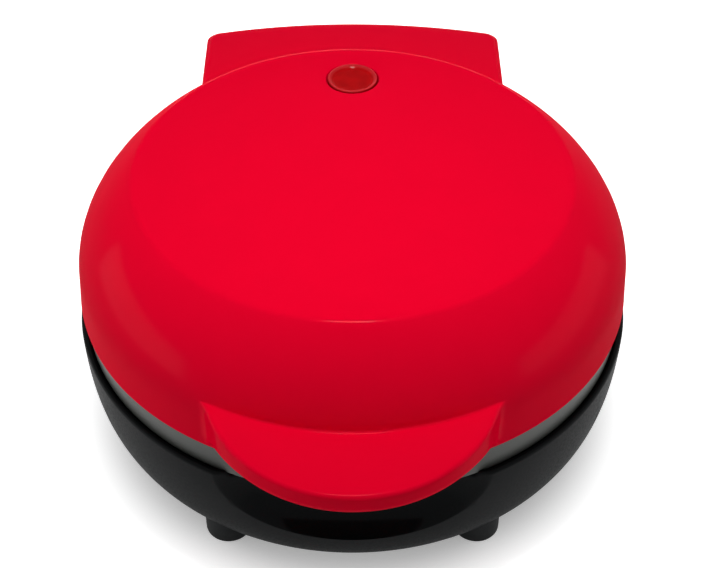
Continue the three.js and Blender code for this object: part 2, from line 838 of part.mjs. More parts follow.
class RingPath extends THREE.Curve {
  constructor(radius, height, gapDegrees) {
    super();
    Object.assign(this, { radius, height, gapDegrees });
  }

  getPoint(t) {
    const angle = radians(90 + this.gapDegrees / 2 + t * (360 - this.gapDegrees));
    return vec3(this.radius * Math.cos(angle), this.radius * Math.sin(angle), this.height);
  }
}

function tubeAlong(path, radius) {
  const section = new THREE.Shape().absarc(0, 0, radius, 0, 2 * Math.PI, false);
  return new THREE.ExtrudeGeometry(section, {
    extrudePath: path,
    steps: elementSteps,
    curveSegments: elementSides / 2,
    bevelEnabled: false,
  });
}

// An open ring with two legs that stand square to it, down when their length is negative
function heatingElement(height, leg) {
  const ring = solidOf(tubeAlong(new RingPath(elementRing, height, elementGapDegrees), elementRadius));
  const legs = [-1, 1].map((side) => {
    const [x, y] = around(elementRing, 90 + (side * elementGapDegrees) / 2);
    const end = height + leg;
    const bend = new THREE.SphereGeometry(elementRadius, elementSides, elementSides);
    bend.translate(x, y, height);
    const straight = rod(elementRadius, Math.min(end, height), Math.max(end, height), x, y, elementSides);
    return joined(solidOf(bend), solidOf(straight));
  });
  return joined(ring, ...legs);
}

// Heat shields: shallow sheet pans with a floor at one height and a wall up to the plate

function shieldPan(floorLowZ, wallEndZ, centreHole) {
  const floorHighZ = floorLowZ + shieldSheet;
  const wall = shieldRadius - shieldSheet;
  const low = Math.min(floorLowZ, wallEndZ);
  const high = Math.max(floorHighZ, wallEndZ);
  const hollowLow = wallEndZ > floorHighZ ? floorHighZ : low - overrun;
  const hollowHigh = wallEndZ > floorHighZ ? high + overrun : floorLowZ;
  const legs = [-1, 1].map((side) => around(elementRing, 90 + (side * elementGapDegrees) / 2));
  const holes = [
    ...legs.map(([x, y]) => solidOf(rod(shieldLegHole, low - overrun, high + overrun, x, y))),
    ...screwPlaces.map(([x, y]) => solidOf(rod(screwRadius + seatGap, low - overrun, high + overrun, x, y))),
  ];
  if (centreHole) {
    holes.push(solidOf(rod(thermostatRadius + 2 * seatGap, low - overrun, high + overrun)));
    const radius = smallScrewRadius + seatGap;
    holes.push(...bracketPlaces.map(([x, y]) => solidOf(rod(radius, low - overrun, high + overrun, x, y))));
  }
  const pan = cut(
    solidOf(rod(shieldRadius, low, high, 0, 0, bodySides)),
    solidOf(rod(wall, hollowLow, hollowHigh, 0, 0, bodySides)),
  );
  return cut(pan, ...holes);
}

const lowerShield = () => shieldPan(lowerShieldBottomZ, lowerPlateBottomZ - seatGap, true);
const upperShield = () => shieldPan(upperShieldBottomZ, upperPlateBackZ + seatGap, false);

// Thermostat, fuse and wiring points of the base

function thermostat() {
  const low = lowerShieldBottomZ;
  const body = solidOf(rod(thermostatRadius, low, lowerPlateBottomZ - seatGap));
  const blades = [-1, 1].map((side) => {
    const y = (side * bladeSpacing) / 2;
    const corner = vec3(-bladeWidth / 2, y - bladeThickness / 2, low - bladeLength);
    return solidOf(box(corner, vec3(bladeWidth / 2, y + bladeThickness / 2, low + bladeThickness)));
  });
  return joined(body, ...blades);
}

function thermostatBracket() {
  const half = bracketLength / 2 - bracketWidth / 2;
  const bar = new THREE.Shape();
  bar.moveTo(-half, -bracketWidth / 2);
  bar.lineTo(half, -bracketWidth / 2);
  bar.absarc(half, 0, bracketWidth / 2, -Math.PI / 2, Math.PI / 2, false);
  bar.lineTo(-half, bracketWidth / 2);
  bar.absarc(-half, 0, bracketWidth / 2, Math.PI / 2, (3 * Math.PI) / 2, false);
  const solid = solidOf(slab(bar, bracketBottomZ, bracketBottomZ + bracketSheet, 3));
  const radius = smallScrewRadius + seatGap;
  const holes = bracketPlaces.map(([x, y]) => {
    return solidOf(rod(radius, bracketBottomZ - overrun, bracketBottomZ + bracketSheet + overrun, x, y));
  });
  return cut(solid, ...holes);
}

const thermalFuse = () => rodAlongX(fuseRadius, -fuseLength / 2, fuseLength / 2, -fuseSetback, fuseZ);

// A spring-steel clip: two feet on the shield and an arch under the fuse
function fuseClip() {
  const inner = fuseRadius + seatGap;
  const outer = inner + clipSheet;
  const topZ = lowerShieldBottomZ - seatGap;
  const steps = 6;
  const arc = (radius, reverse) => Array.from({ length: steps + 1 }, (_, i) => {
    const angle = Math.PI * (1 + (reverse ? steps - i : i) / steps);
    return vec2(radius * Math.cos(angle) - fuseSetback, fuseZ + radius * Math.sin(angle));
  });
  const footY = [-fuseSetback - outer - clipFoot, -fuseSetback + outer + clipFoot];
  const outline = [
    vec2(footY[0], topZ),
    vec2(footY[0], topZ - clipSheet),
    vec2(-fuseSetback - outer, topZ - clipSheet),
    ...arc(outer, false),
    vec2(-fuseSetback + outer, topZ - clipSheet),
    vec2(footY[1], topZ - clipSheet),
    vec2(footY[1], topZ),
    vec2(-fuseSetback + inner, topZ),
    ...arc(inner, true),
    vec2(-fuseSetback - inner, topZ),
  ];
  return slabAlongX(outline, -clipWidth / 2, clipWidth / 2);
}

function terminalBlock() {
  const low = vec3(-terminalWidth / 2, terminalSetback - terminalDepth / 2, terminalBottomZ);
  const high = vec3(terminalWidth / 2, terminalSetback + terminalDepth / 2, terminalBottomZ + terminalHeight);
  const middleZ = terminalBottomZ + terminalHeight / 2;
  const ports = [-1, 1].flatMap((side) => {
    const x = (side * terminalPortSpacing) / 2;
    const top = terminalBottomZ + terminalHeight + overrun;
    return [
      solidOf(rodAlongY(terminalPort, low.y - overrun, high.y + overrun, x, middleZ)),
      solidOf(rod(terminalPort, middleZ, top, x, terminalSetback)),
    ];
  });
  const seat = terminalBottomZ + terminalHeight / 2;
  const bore = rod(smallScrewRadius + seatGap, low.z - overrun, high.z + overrun, 0, terminalSetback);
  const recess = rod(smallScrewHead + seatGap, seat, high.z + overrun, 0, terminalSetback);
  return cut(solidOf(box(low, high)), ...ports, solidOf(bore), solidOf(recess));
}

// The ring that lines the cord's outlet, with a lip on both sides of the wall
function cordGland() {
  const lip = glandRadius + glandLipWidth;
  const bowed = (lip * lip) / (2 * blockBackRadius);
  const innerFace = glandWallY - bowlWall - bowed - seatGap;
  const outerFace = glandWallY + seatGap;
  const profile = [
    vec2(glandBore, innerFace - glandLip),
    vec2(lip, innerFace - glandLip),
    vec2(lip, innerFace),
    vec2(glandRadius, innerFace),
    vec2(glandRadius, outerFace),
    vec2(lip, outerFace),
    vec2(lip - glandLip / 2, outerFace + glandLip),
    vec2(glandBore, outerFace + glandLip),
    vec2(glandBore, innerFace - glandLip),
  ];
  const geometry = new THREE.LatheGeometry(profile, smallSides);
  geometry.translate(0, 0, glandZ);
  return geometry;
}

// A headed pin, pushed in from the side, drawn for the right-hand side
function hingePin() {
  const tip = barrelHalfLength - pinEngagement;
  const end = blockHalfWidth - seatGap;
  const shank = rodAlongX(pinRadius, tip, end - pinHeadHeight / 2, 0, 0);
  const head = rodAlongX(pinHeadRadius, end - pinHeadHeight, end, 0, 0);
  return joined(solidOf(shank), solidOf(head));
}

// Lid

// The lifting tab: a round tongue with a rounded top edge
function tabOutside() {
  const topZ = partingZ + tabTopHeight;
  const outline = [
    vec2(0, partingZ),
    vec2(tabRadius, partingZ),
    ...roundedCorner(tabRadius - tabFillet, topZ - tabFillet, tabFillet, 0, 90, 4),
    vec2(0, topZ),
  ];
  return solidOf(turned(outline, tabSides, 0, tabCentre));
}

// The hollow inside the tab, with its ribs left standing, and the room under it
function tabHollow() {
  const topZ = partingZ + tabTopHeight;
  const inner = tabRadius - tabWall;
  const hollow = solidOf(rod(inner, partingZ - overrun, topZ - tabWall, 0, tabCentre, tabSides));
  const ribs = Array.from({ length: tabRibCount }, (_, i) => {
    const x = (i - (tabRibCount - 1) / 2) * tabRibSpacing;
    const low = vec3(x - tabRibThickness / 2, -tabReach, partingZ);
    return solidOf(box(low, vec3(x + tabRibThickness / 2, tabCentre + tabRadius, topZ)));
  });
  return joined(cut(hollow, cut(joined(...ribs), underTab(tabWall))), underTab(0));
}

// The room under the tab, whose lower edge climbs from the roots to the tip
function underTab(lift) {
  const apart = -tabCentre;
  const rootY = -(lidRadius ** 2 - tabRadius ** 2 + apart ** 2) / (2 * apart);
  const steps = 8;
  const edge = Array.from({ length: steps + 1 }, (_, i) => {
    const share = i / steps;
    const climb = tabTipLift * (1 - (1 - share) ** 3);
    return vec2(rootY - (tabReach + rootY) * share, partingZ + lift + climb);
  });
  const outline = [
    vec2(0, partingZ - overrun),
    vec2(0, partingZ + lift),
    ...edge,
    vec2(-tabReach - overrun, partingZ + lift + tabTipLift),
    vec2(-tabReach - overrun, partingZ - overrun),
  ];
  return solidOf(slabAlongX(outline, -bowlRadius, bowlRadius));
}

// The hinge block's cover, and the hollow inside it, which is open below the height of the hinge
const lidBlockLowZ = hingeZ - blockReach * blockTopSlope - 2 * blockEdge;

function lidBlockOutside() {
  const outline = blockOutline(0, blockCorner);
  return solidOf(leaned(softSlab(outline, lidBlockLowZ, partingZ + blockTopHeight, blockEdge)));
}

function lidBlockHollow() {
  const outline = blockOutline(lidWall, blockCorner - lidWall / 2);
  const inner = solidOf(leaned(slab(outline, lidBlockLowZ, partingZ + blockTopHeight - lidWall)));
  const below = solidOf(box(vec3(-bowlRadius, 0, 0), vec3(bowlRadius, 2 * blockReach, hingeZ)));
  return joined(inner, below, solidOf(rod(lidRadius, 0, partingZ, 0, 0, bodySides)));
}

// Knuckles at the two ends of the hinge, joined to the block's side and back walls
function lidKnuckles() {
  const within = solidOf(slab(blockOutline(0, blockCorner), 0, partingZ + blockTopHeight));
  const reach = blockHalfWidth + overrun;
  const from = barrelHalfLength + knuckleGap;
  const right = solidOf(rodAlongX(knuckleRadius, from, reach, hingeSetback, hingeZ)).intersect(within);
  const left = solidOf(rodAlongX(knuckleRadius, -reach, -from, hingeSetback, hingeZ)).intersect(within);
  return joined(right, left);
}

function pinBores() {
  const reach = blockHalfWidth + overrun;
  const seat = blockHalfWidth - pinHeadHeight - 2 * seatGap;
  const bore = solidOf(rodAlongX(pinRadius + seatGap, -reach, reach, hingeSetback, hingeZ));
  const right = solidOf(rodAlongX(pinHeadRadius + seatGap, seat, reach, hingeSetback, hingeZ));
  const left = solidOf(rodAlongX(pinHeadRadius + seatGap, -reach, -seat, hingeSetback, hingeZ));
  return [bore, right, left];
}

// The wide window in the dome's back wall, through which the lead comes in from the hinge
function lidWindow() {
  const low = partingZ + plateFlange + seatGap + lidWall;
  const corner = vec3(-barrelHalfLength, lidTopRadius, low);
  return solidOf(box(corner, vec3(barrelHalfLength, hingeSetback, low + lidWindowHeight)));
}

function lidHousing() {
  const dome = solidOf(lidOutside());
  const hollows = joined(cut(joined(tabHollow(), lidBlockHollow()), dome), solidOf(lidInside()));
  const shell = joined(cut(joined(dome, tabOutside(), lidBlockOutside()), hollows), lidKnuckles());

  const ceiling = lidTopZ - lidWall / 2;
  const fittings = joined(
    solidOf(rod(lensRadius + seatGap + lensCollarWall, lensCollarZ, ceiling, 0, lensSetback)),
    ...holderScrewPlaces.map(([x, y]) => solidOf(rod(smallBossRadius, lensFlangeBottomZ, ceiling, x, y))),
    ...flangeScrewPlaces.map(([x, y]) => solidOf(rod(flangeBossRadius, partingZ, ceiling, x, y))),
  ).intersect(dome);

  const holes = [
    solidOf(rod(lensRadius + seatGap, lensCollarZ - overrun, lidTopZ + overrun, 0, lensSetback, lensSides)),
    ...holderScrewPlaces.map(([x, y]) => {
      const top = holderBottomZ + smallScrewLength + seatGap;
      return solidOf(rod(smallScrewRadius + seatGap, lensFlangeBottomZ - overrun, top, x, y));
    }),
    ...flangeScrewPlaces.map(([x, y]) => {
      const top = partingZ + flangeScrewLength + seatGap;
      return solidOf(rod(flangeScrewRadius + seatGap, partingZ - overrun, top, x, y));
    }),
    ...pinBores(),
    lidWindow(),
  ];
  return cut(joined(shell, fittings), ...holes, upperPlateRoom());
}

// Lens, lamp and lamp holder

function indicatorLens() {
  const inner = lensRadius - lensSkin;
  const flange = lensRadius + lensFlange;
  const steps = 3;
  const crown = Array.from({ length: steps + 1 }, (_, i) => {
    const share = 1 - i / steps;
    return vec2(lensRadius * share, lidTopZ + lensCrown * (1 - share * share));
  });
  return turned([
    vec2(0, lidTopZ - lensSkin),
    vec2(inner, lidTopZ - lensSkin),
    vec2(inner, lensFlangeBottomZ),
    vec2(flange, lensFlangeBottomZ),
    vec2(flange, lensFlangeTopZ),
    vec2(lensRadius, lensFlangeTopZ),
    ...crown,
  ], lensSides, 0, lensSetback);
}

function lampHolder() {
  const top = holderBottomZ + holderWing;
  const wing = new THREE.Shape();
  const half = holderScrewSpacing / 2;
  wing.moveTo(-half, -smallBossRadius);
  wing.lineTo(half, -smallBossRadius);
  wing.absarc(half, 0, smallBossRadius, -Math.PI / 2, Math.PI / 2, false);
  wing.lineTo(-half, smallBossRadius);
  wing.absarc(-half, 0, smallBossRadius, Math.PI / 2, (3 * Math.PI) / 2, false);
  const wings = slab(wing, holderBottomZ, top, 3);
  wings.translate(0, lensSetback, 0);
  const disc = rod(lensRadius + lensFlange, holderBottomZ, top, 0, lensSetback);
  const tube = rod(lampRadius + seatGap + holderWall, top - holderCup, top, 0, lensSetback);
  const bore = rod(lampRadius + seatGap, top - holderCup - overrun, top + overrun, 0, lensSetback);
  const holes = holderScrewPlaces.map(([x, y]) => {
    return solidOf(rod(smallScrewRadius + seatGap, holderBottomZ - overrun, top + overrun, x, y));
  });
  return cut(joined(solidOf(wings), solidOf(disc), solidOf(tube)), solidOf(bore), ...holes);
}

function indicatorLamp() {
  const low = holderBottomZ + holderWing - holderCup;
  const straight = low + lampLength - lampRadius;
  return turned([
    vec2(0, low),
    vec2(lampRadius, low),
    vec2(lampRadius, straight),
    ...roundedCorner(0, straight, lampRadius, 0, 90).slice(1),
  ], smallSides, 0, lensSetback);
}

// The whole griddle, as two groups that turn against each other at the hinge

function part(name, shape, material, place = vec3(0, 0, 0)) {
  const geometry = shape.isBufferGeometry ? shape : geometryOf(shape);
  const mesh = new THREE.Mesh(geometry, material);
  mesh.name = name;
  mesh.position.copy(place);
  return mesh;
}

const griddle = new THREE.Group();
const base = new THREE.Group();
const lid = new THREE.Group();
griddle.add(base, lid);

base.add(part('base_housing', baseHousing(), blackPlastic));
footPlaces.forEach(([name, x, y]) => base.add(part(name, foot(x, y), footRubber)));
base.add(part('lower_griddle_plate', lowerPlate(), platedCoat));
const lowerElement = heatingElement(lowerPlateBottomZ - seatGap - elementRadius, -lowerElementLeg);
base.add(part('lower_heating_element', lowerElement, elementSteel));
base.add(part('lower_heat_shield', lowerShield(), shieldSteel));
screwPlaces.forEach(([x, y], i) => {
  const length = lowerScrewTipZ - counterboreZ + seatGap;
  const shape = screw(screwRadius, screwHeadRadius, screwHeadHeight, length, 1);
  base.add(part(`lower_plate_screw_${i + 1}`, shape, screwSteel, vec3(x, y, counterboreZ - seatGap)));
});
base.add(part('thermostat', thermostat(), blackNylon));
base.add(part('thermostat_bracket', thermostatBracket(), shieldSteel));
bracketPlaces.forEach(([x, y], i) => {
  const shape = screw(smallScrewRadius, smallScrewHead, smallScrewHeadHeight, smallScrewLength, 1);
  base.add(part(`thermostat_screw_${i + 1}`, shape, screwSteel, vec3(x, y, bracketBottomZ - seatGap)));
});
base.add(part('thermal_fuse', thermalFuse(), fuseSleeve));
base.add(part('fuse_clip', fuseClip(), shieldSteel));
base.add(part('terminal_block', terminalBlock(), whiteNylon));
const blockScrew = screw(smallScrewRadius, smallScrewHead, smallScrewHeadHeight, smallScrewLength, -1);
const blockScrewZ = terminalBottomZ + terminalHeight / 2 + seatGap;
base.add(part('terminal_block_screw', blockScrew, screwSteel, vec3(0, terminalSetback, blockScrewZ)));
base.add(part('cord_gland', cordGland(), blackNylon));
base.add(part('hinge_pin_right', hingePin(), screwSteel, vec3(0, hingeSetback, hingeZ)));
const leftPin = part('hinge_pin_left', hingePin(), screwSteel, vec3(0, hingeSetback, hingeZ));
leftPin.rotation.z = Math.PI;
base.add(leftPin);

lid.add(part('lid_housing', lidHousing(), redPlastic));
lid.add(part('upper_griddle_plate', upperPlate(), platedCoat));
const upperElement = heatingElement(upperPlateBackZ + seatGap + elementRadius, upperElementLeg);
lid.add(part('upper_heating_element', upperElement, elementSteel));
lid.add(part('upper_heat_shield', upperShield(), shieldSteel));
flangeScrewPlaces.forEach(([x, y], i) => {
  const shape = countersunkScrew(flangeScrewRadius, flangeScrewHead, flangeScrewLength);
  lid.add(part(`upper_plate_screw_${i + 1}`, shape, screwSteel, vec3(x, y, partingZ)));
});
screwPlaces.forEach(([x, y], i) => {
  const shape = screw(smallScrewRadius, smallScrewHead, smallScrewHeadHeight, smallScrewLength, -1);
  lid.add(part(`upper_shield_screw_${i + 1}`, shape, screwSteel, vec3(x, y, upperShieldTopZ + seatGap)));
});
lid.add(part('indicator_lens', indicatorLens(), redLens));
lid.add(part('indicator_lamp', indicatorLamp(), glassClear));
lid.add(part('lamp_holder', lampHolder(), blackNylon));
holderScrewPlaces.forEach(([x, y], i) => {
  const shape = screw(smallScrewRadius, smallScrewHead, smallScrewHeadHeight, smallScrewLength, 1);
  lid.add(part(`lamp_holder_screw_${i + 1}`, shape, screwSteel, vec3(x, y, holderBottomZ - seatGap)));
});

export default griddle;
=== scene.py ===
"""Mini griddle: smooth moulded shells, cast plates, lens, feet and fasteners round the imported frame."""

import json
import math
from types import SimpleNamespace

import bmesh
import bpy
import numpy as np
from bpy.props import FloatProperty, FloatVectorProperty, IntProperty, PointerProperty
from mathutils import Matrix, Vector


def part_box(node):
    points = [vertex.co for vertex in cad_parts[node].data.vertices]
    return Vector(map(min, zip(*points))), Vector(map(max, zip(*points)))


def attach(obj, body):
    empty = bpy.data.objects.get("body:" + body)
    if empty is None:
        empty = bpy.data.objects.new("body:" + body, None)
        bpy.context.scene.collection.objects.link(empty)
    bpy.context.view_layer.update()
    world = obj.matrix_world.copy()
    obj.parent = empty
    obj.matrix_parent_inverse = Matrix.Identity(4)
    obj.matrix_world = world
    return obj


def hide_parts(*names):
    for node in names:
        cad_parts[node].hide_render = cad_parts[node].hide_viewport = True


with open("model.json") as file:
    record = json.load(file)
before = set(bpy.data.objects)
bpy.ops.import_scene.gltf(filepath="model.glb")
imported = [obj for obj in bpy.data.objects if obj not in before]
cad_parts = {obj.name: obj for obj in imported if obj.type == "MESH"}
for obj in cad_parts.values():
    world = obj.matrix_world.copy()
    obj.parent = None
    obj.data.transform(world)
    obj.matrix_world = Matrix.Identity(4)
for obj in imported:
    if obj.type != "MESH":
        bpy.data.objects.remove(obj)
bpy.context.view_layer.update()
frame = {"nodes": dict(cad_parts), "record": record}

bl_info = {
    "name": "Mini griddle",
    "version": (1, 0, 0),
    "blender": (4, 5, 0),
    "location": "3D View > Sidebar > Griddle",
    "description": "Dresses the packed griddle frame with its moulded shells, plates and small parts",
    "category": "Object",
}

MM = 0.001

LOW, HIGH = 0, 1
X, Y, Z = 0, 1, 2

# Edges that turn by more than this stay sharp in the shading
SHARP_DEGREES = 35

# The hinge, in millimetres: the lid's knuckles at both ends of the base's barrel, bored for the pins
HINGE_RADIUS = 5.2
BARREL_HALF = 30.0
KNUCKLE_GAP = 0.8
PIN_BORE_RADIUS = 1.8
OPEN_DEGREES = 95
# What is left between the open lid's back wall and the top of the base's block, which is its stop
STOP_GAP = 0.5

# The lid's shoulder: how far it lies inside the lower edge, its fall at the flat top, and how far its direction
# at the top and at the side carries, as shares of its width and height
SHOULDER_INSET = 0.6
SHOULDER_DEGREES = 36
SHOULDER_TOP_PULL = 0.57
SHOULDER_SIDE_PULL = 0.41

# How fast the tops of the lifting tab and of the hinge block fall outwards
TAB_SLOPE = math.tan(math.radians(3.5))
BLOCK_SLOPE = 0.1

# The bowl's curve: how far its direction at the rim and at the floor carries, as shares of its height and width
BOWL_FLANK_PULL = 0.52
BOWL_HEEL_PULL = 0.875

# The base's hinge block: how far it lies inside the lid's, its upright corners and its depth below the parting
BASE_BLOCK_INSET = 2.2
BASE_BLOCK_CORNER = 6.0
BASE_BLOCK_DROP = 36

# A radius outside everything, in millimetres
FAR_OUT = 200.0


def cad(name, corner, axis):
    """A side of a CAD node's box, in millimetres."""
    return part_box(name)[corner][axis] / MM


def from_above(name):
    """Middle and half width of a CAD node's box, seen from above, in millimetres."""
    low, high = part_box(name)
    return (low[X] + high[X]) / 2 / MM, (low[Y] + high[Y]) / 2 / MM, (high[X] - low[X]) / 2 / MM


def linear(code):
    """An sRGB hex colour as linear red, green and blue."""
    parts = [int(code[i : i + 2], 16) / 255 for i in (1, 3, 5)]
    return tuple(c / 12.92 if c <= 0.04045 else ((c + 0.055) / 1.055) ** 2.4 for c in parts)


def length(name, millimetres, description):
    return FloatProperty(
        name=name, description=description, default=millimetres * MM, min=0, unit="LENGTH", precision=4
    )


def colour(name, code, description):
    return FloatVectorProperty(
        name=name, description=description, default=linear(code), size=3, min=0, max=1, subtype="COLOR"
    )


class GriddleSizes(bpy.types.PropertyGroup):
    """Sizes of the shells and of the pieces that show."""

    parting: length("Parting height", cad("upper_griddle_plate", LOW, Z), "Height where lid and base meet")
    bowl_radius: length("Bowl radius", cad("base_housing", HIGH, X), "Outer radius of the base at its rim")
    bowl_bottom: length("Bowl bottom", cad("base_housing", LOW, Z), "Height of the base's flat floor")
    bowl_rim: length("Rim height", 36.0, "Height of the base's rim")
    bowl_floor: length("Floor radius", 57.0, "Radius of the base's flat floor")
    bowl_wall: length("Base wall", 2.3, "Wall of the base shell")
    rim_wall: length("Rim wall", 1.5, "Wall of the base at its rim, beside the plate")
    scoop_half_width: length("Scoop half width", 38.5, "Half width of the finger scoop")
    scoop_reach: length("Scoop depth", 12.0, "How far the scoop reaches into the bowl")
    scoop_drop: length("Scoop drop", 17.0, "How far the scoop reaches below the rim")
    lid_radius: length("Lid radius", cad("lid_housing", HIGH, X), "Outer radius of the lid's lower edge")
    lid_top: length("Lid top", cad("lid_housing", HIGH, Z), "Height of the lid's flat top")
    lid_wall: length("Lid wall", 2.4, "Wall of the lid shell")
    disc_radius: length("Disc radius", 55.5, "Radius of the lid's flat top")
    disc_fillet: length("Disc edge", 2.6, "Rounding of the edge of the flat top")
    lid_skirt: length("Lid skirt", 7.3, "Height of the lid's upright lower wall")
    tab_radius: length("Tab radius", 35.0, "Radius of the lifting tab")
    tab_reach: length("Tab reach", -cad("lid_housing", LOW, Y), "How far the tab stands out from the axis")
    tab_top: length("Tab height", 13.0, "Height of the tab's top over the parting height")
    tab_lift: length("Tab lift", 4.8, "How far the tab's lower edge climbs to its tip")
    tab_fillet: length("Tab edge", 1.0, "Rounding of the tab's top edge")
    tab_tuck: length("Tab underside edge", 3.2, "Rounding of the tab's lower edge")
    block_reach: length("Block reach", cad("lid_housing", HIGH, Y), "How far the hinge block stands out")
    block_half_width: length("Block half width", 43.5, "Half width of the hinge block at its back")
    block_taper: length("Block taper", 1.2, "How much narrower the hinge block is at its root")
    block_bow: length("Block bow radius", 135.0, "Radius of the hinge block's bowed back")
    block_corner: length("Block corner", 2.8, "Rounding of the hinge block's upright corners")
    block_top: length("Block height", 20.9, "Height of the hinge block's back edge over the parting height")
    block_edge: length("Block edge", 1.8, "Rounding of the hinge block's top edge")
    block_tuck: length("Block underside edge", 0.5, "Rounding of the hinge block's lower edge")
    hinge_y: length("Hinge setback", 77.0, "Distance of the hinge axis from the griddle's axis")
    hinge_z: length("Hinge height", 41.0, "Height of the hinge axis")
    lens_y: length("Lens setback", 41.4, "Distance of the lens from the griddle's axis")
    lens_radius: length("Lens radius", 6.75, "Radius of the lens that shows")
    columns: IntProperty(name="Columns", description="Columns round a turned piece", default=192, min=24)


class GriddleColours(bpy.types.PropertyGroup):
    """Colours of the finishes."""

    lid_red: colour("Lid red", "#EA0029", "Moulded colour of the lid")
    base_black: colour("Base black", "#0E1011", "Moulded colour of the base")
    plate_grey: colour("Plate grey", "#3D3F3C", "Coating of the cooking plates")
    lens_red: colour("Lens red", "#B80208", "Moulded colour of the lens")
    foot_black: colour("Foot black", "#0B0D0E", "Rubber of the feet")


def sizes(context):
    """All lengths of the sizes group, in millimetres."""
    group = context.scene.griddle_sizes
    names = [name for name in GriddleSizes.__annotations__ if name != "columns"]
    return SimpleNamespace(columns=group.columns, **{name: getattr(group, name) / MM for name in names})


# Curves and grids, in millimetres


def arc(centre_r, centre_z, radius, start, end, steps):
    """Points of an arc between two angles in degrees, as radius and height."""
    angles = np.radians(np.linspace(start, end, steps + 1))
    return np.stack([centre_r + radius * np.cos(angles), centre_z + radius * np.sin(angles)], axis=1)


def bezier(points, steps):
    """Points of a cubic curve with four given points."""
    t = np.linspace(0, 1, steps + 1)[:, None]
    a, b, c, d = (np.array(p, float) for p in points)
    return (1 - t) ** 3 * a + 3 * t * (1 - t) ** 2 * b + 3 * t * t * (1 - t) * c + t**3 * d


def inset(points, distance):
    """A radius and height curve set in to the left of its direction."""
    along = np.gradient(points, axis=0)
    along /= np.linalg.norm(along, axis=1)[:, None]
    return points + distance * np.stack([-along[:, 1], along[:, 0]], axis=1)


def smooth_step(low, high, value):
    share = np.clip((value - low) / (high - low), 0, 1)
    return share * share * (3 - 2 * share)


def smooth_max(a, b, blend):
    """The larger of two values, with a rounded change from one to the other."""
    share = np.clip(0.5 + 0.5 * (a - b) / blend, 0, 1)
    return b + (a - b) * share + blend * share * (1 - share)


def smooth_min(a, b, blend):
    return -smooth_max(-a, -b, blend)


def shares(steps):
    """Shares of a way, one after each of its equal steps."""
    return np.linspace(0, 1, steps + 1)[1:]


def quarter(steps):
    """Angles of a quarter turn, one after each of its equal steps."""
    return np.radians(np.linspace(0, 90, steps + 1)[1:])


def curved(start, corner, end, t):
    """A point of the curve that rounds a corner between a place before it and a place after it."""
    return (1 - t) ** 2 * start + 2 * t * (1 - t) * corner + t * t * end


def fine_columns():
    """Column angles from the front, closer together at the tab, the scoop's ends and the hinge block."""
    end = np.arange(20, 30, 0.2)
    middle = np.arange(-20, 20, 0.4)
    outer = np.arange(30, 40, 0.5)
    front = np.concatenate([outer - 70, end - 50, middle, end, outer])
    side = np.arange(40, 140, 1.25)
    back = np.arange(140, 220, 0.25)
    return np.radians(np.concatenate([front, side, back, side + 180]))


def degrees_from_front(angles):
    return np.abs((np.degrees(angles) + 180) % 360 - 180)


def round_row(angles, r, z):
    """A row of points at a radius and a height, each of them one value or one for every column."""
    return np.stack([r * np.sin(angles), -r * np.cos(angles), z + 0 * angles], axis=1)


def mesh_from_grid(rows, closed_rows=False):
    """A mesh through rows of points, each row going once round. Points that fall together are joined."""
    rows = np.asarray(rows)
    count, columns = rows.shape[:2]
    last = count if closed_rows else count - 1
    i, j = np.meshgrid(np.arange(last), np.arange(columns), indexing="ij")
    after, beside = (i + 1) % count, (j + 1) % columns
    corners = [i * columns + j, i * columns + beside, after * columns + beside, after * columns + j]
    faces = np.stack(corners, axis=-1).reshape(-1, 4)
    bm = bmesh.new()
    vertices = [bm.verts.new(point) for point in (rows.reshape(-1, 3) * MM).tolist()]
    for face in faces.tolist():
        bm.faces.new([vertices[k] for k in face])
    bmesh.ops.remove_doubles(bm, verts=bm.verts, dist=1e-3 * MM)
    bmesh.ops.dissolve_degenerate(bm, edges=bm.edges, dist=1e-4 * MM)
    return bm


def capped(rows):
    """A mesh through rows of points, closed at both ends from the row's edge to its middle."""
    ends = [np.repeat(rows[k].mean(axis=0)[None], len(rows[k]), axis=0) for k in (0, -1)]
    return mesh_from_grid([ends[0], *rows, ends[1]])


def turned(profile, columns, centre=(0, 0), closed=False):
    """A profile of radius and height points, turned about an upright axis."""
    angles = np.linspace(0, 2 * math.pi, columns, endpoint=False)
    rows = [round_row(angles, r, z) + (*centre, 0) for r, z in profile]
    return mesh_from_grid(rows, closed)


def rounded(points, radius, steps):
    """A closed outline with every corner rounded by no more than its sides allow."""
    out = []
    count = len(points)
    for k in range(count):
        before, here, after = (np.array(points[(k + n) % count], float) for n in (-1, 0, 1))
        back, on = before - here, after - here
        # Under half of a side, so that the roundings at its two ends stay apart
        reach = min(radius, np.linalg.norm(back) * 0.45, np.linalg.norm(on) * 0.45)
        start = here + back / np.linalg.norm(back) * reach
        end = here + on / np.linalg.norm(on) * reach
        out += [curved(start, here, end, t) for t in np.linspace(0, 1, steps + 1)]
    return out


def bar(outline, from_x, to_x, edge):
    """A bar along X with an outline of Y and Z points and softened ends."""
    outline = np.array(outline, float)
    middle = outline.mean(axis=0)
    reach = np.linalg.norm(outline - middle, axis=1)[:, None]
    # How far in from an end a row lies, and the share of the edge by which it shrinks
    half = [(0, 1), (edge * 0.3, 0.3), (edge, 0)]
    stations = [(from_x + step, shrink) for step, shrink in half]
    stations += [(to_x - step, shrink) for step, shrink in half[::-1]]
    rows = []
    for x, shrink in stations:
        shape = middle + (outline - middle) * (1 - shrink * edge / reach)
        rows.append(np.column_stack([np.full(len(shape), x), shape]))
    return capped(rows)


def rotated(bm, degrees, axis):
    bmesh.ops.rotate(bm, verts=bm.verts, cent=(0, 0, 0), matrix=Matrix.Rotation(math.radians(degrees), 3, axis))
    return bm


def lying(bm):
    """Turns an upright piece about the Z axis into one about the X axis."""
    return rotated(bm, 90, "Y")


def moved(bm, y=0, z=0):
    bmesh.ops.translate(bm, verts=bm.verts, vec=Vector((0, y, z)) * MM)
    return bm


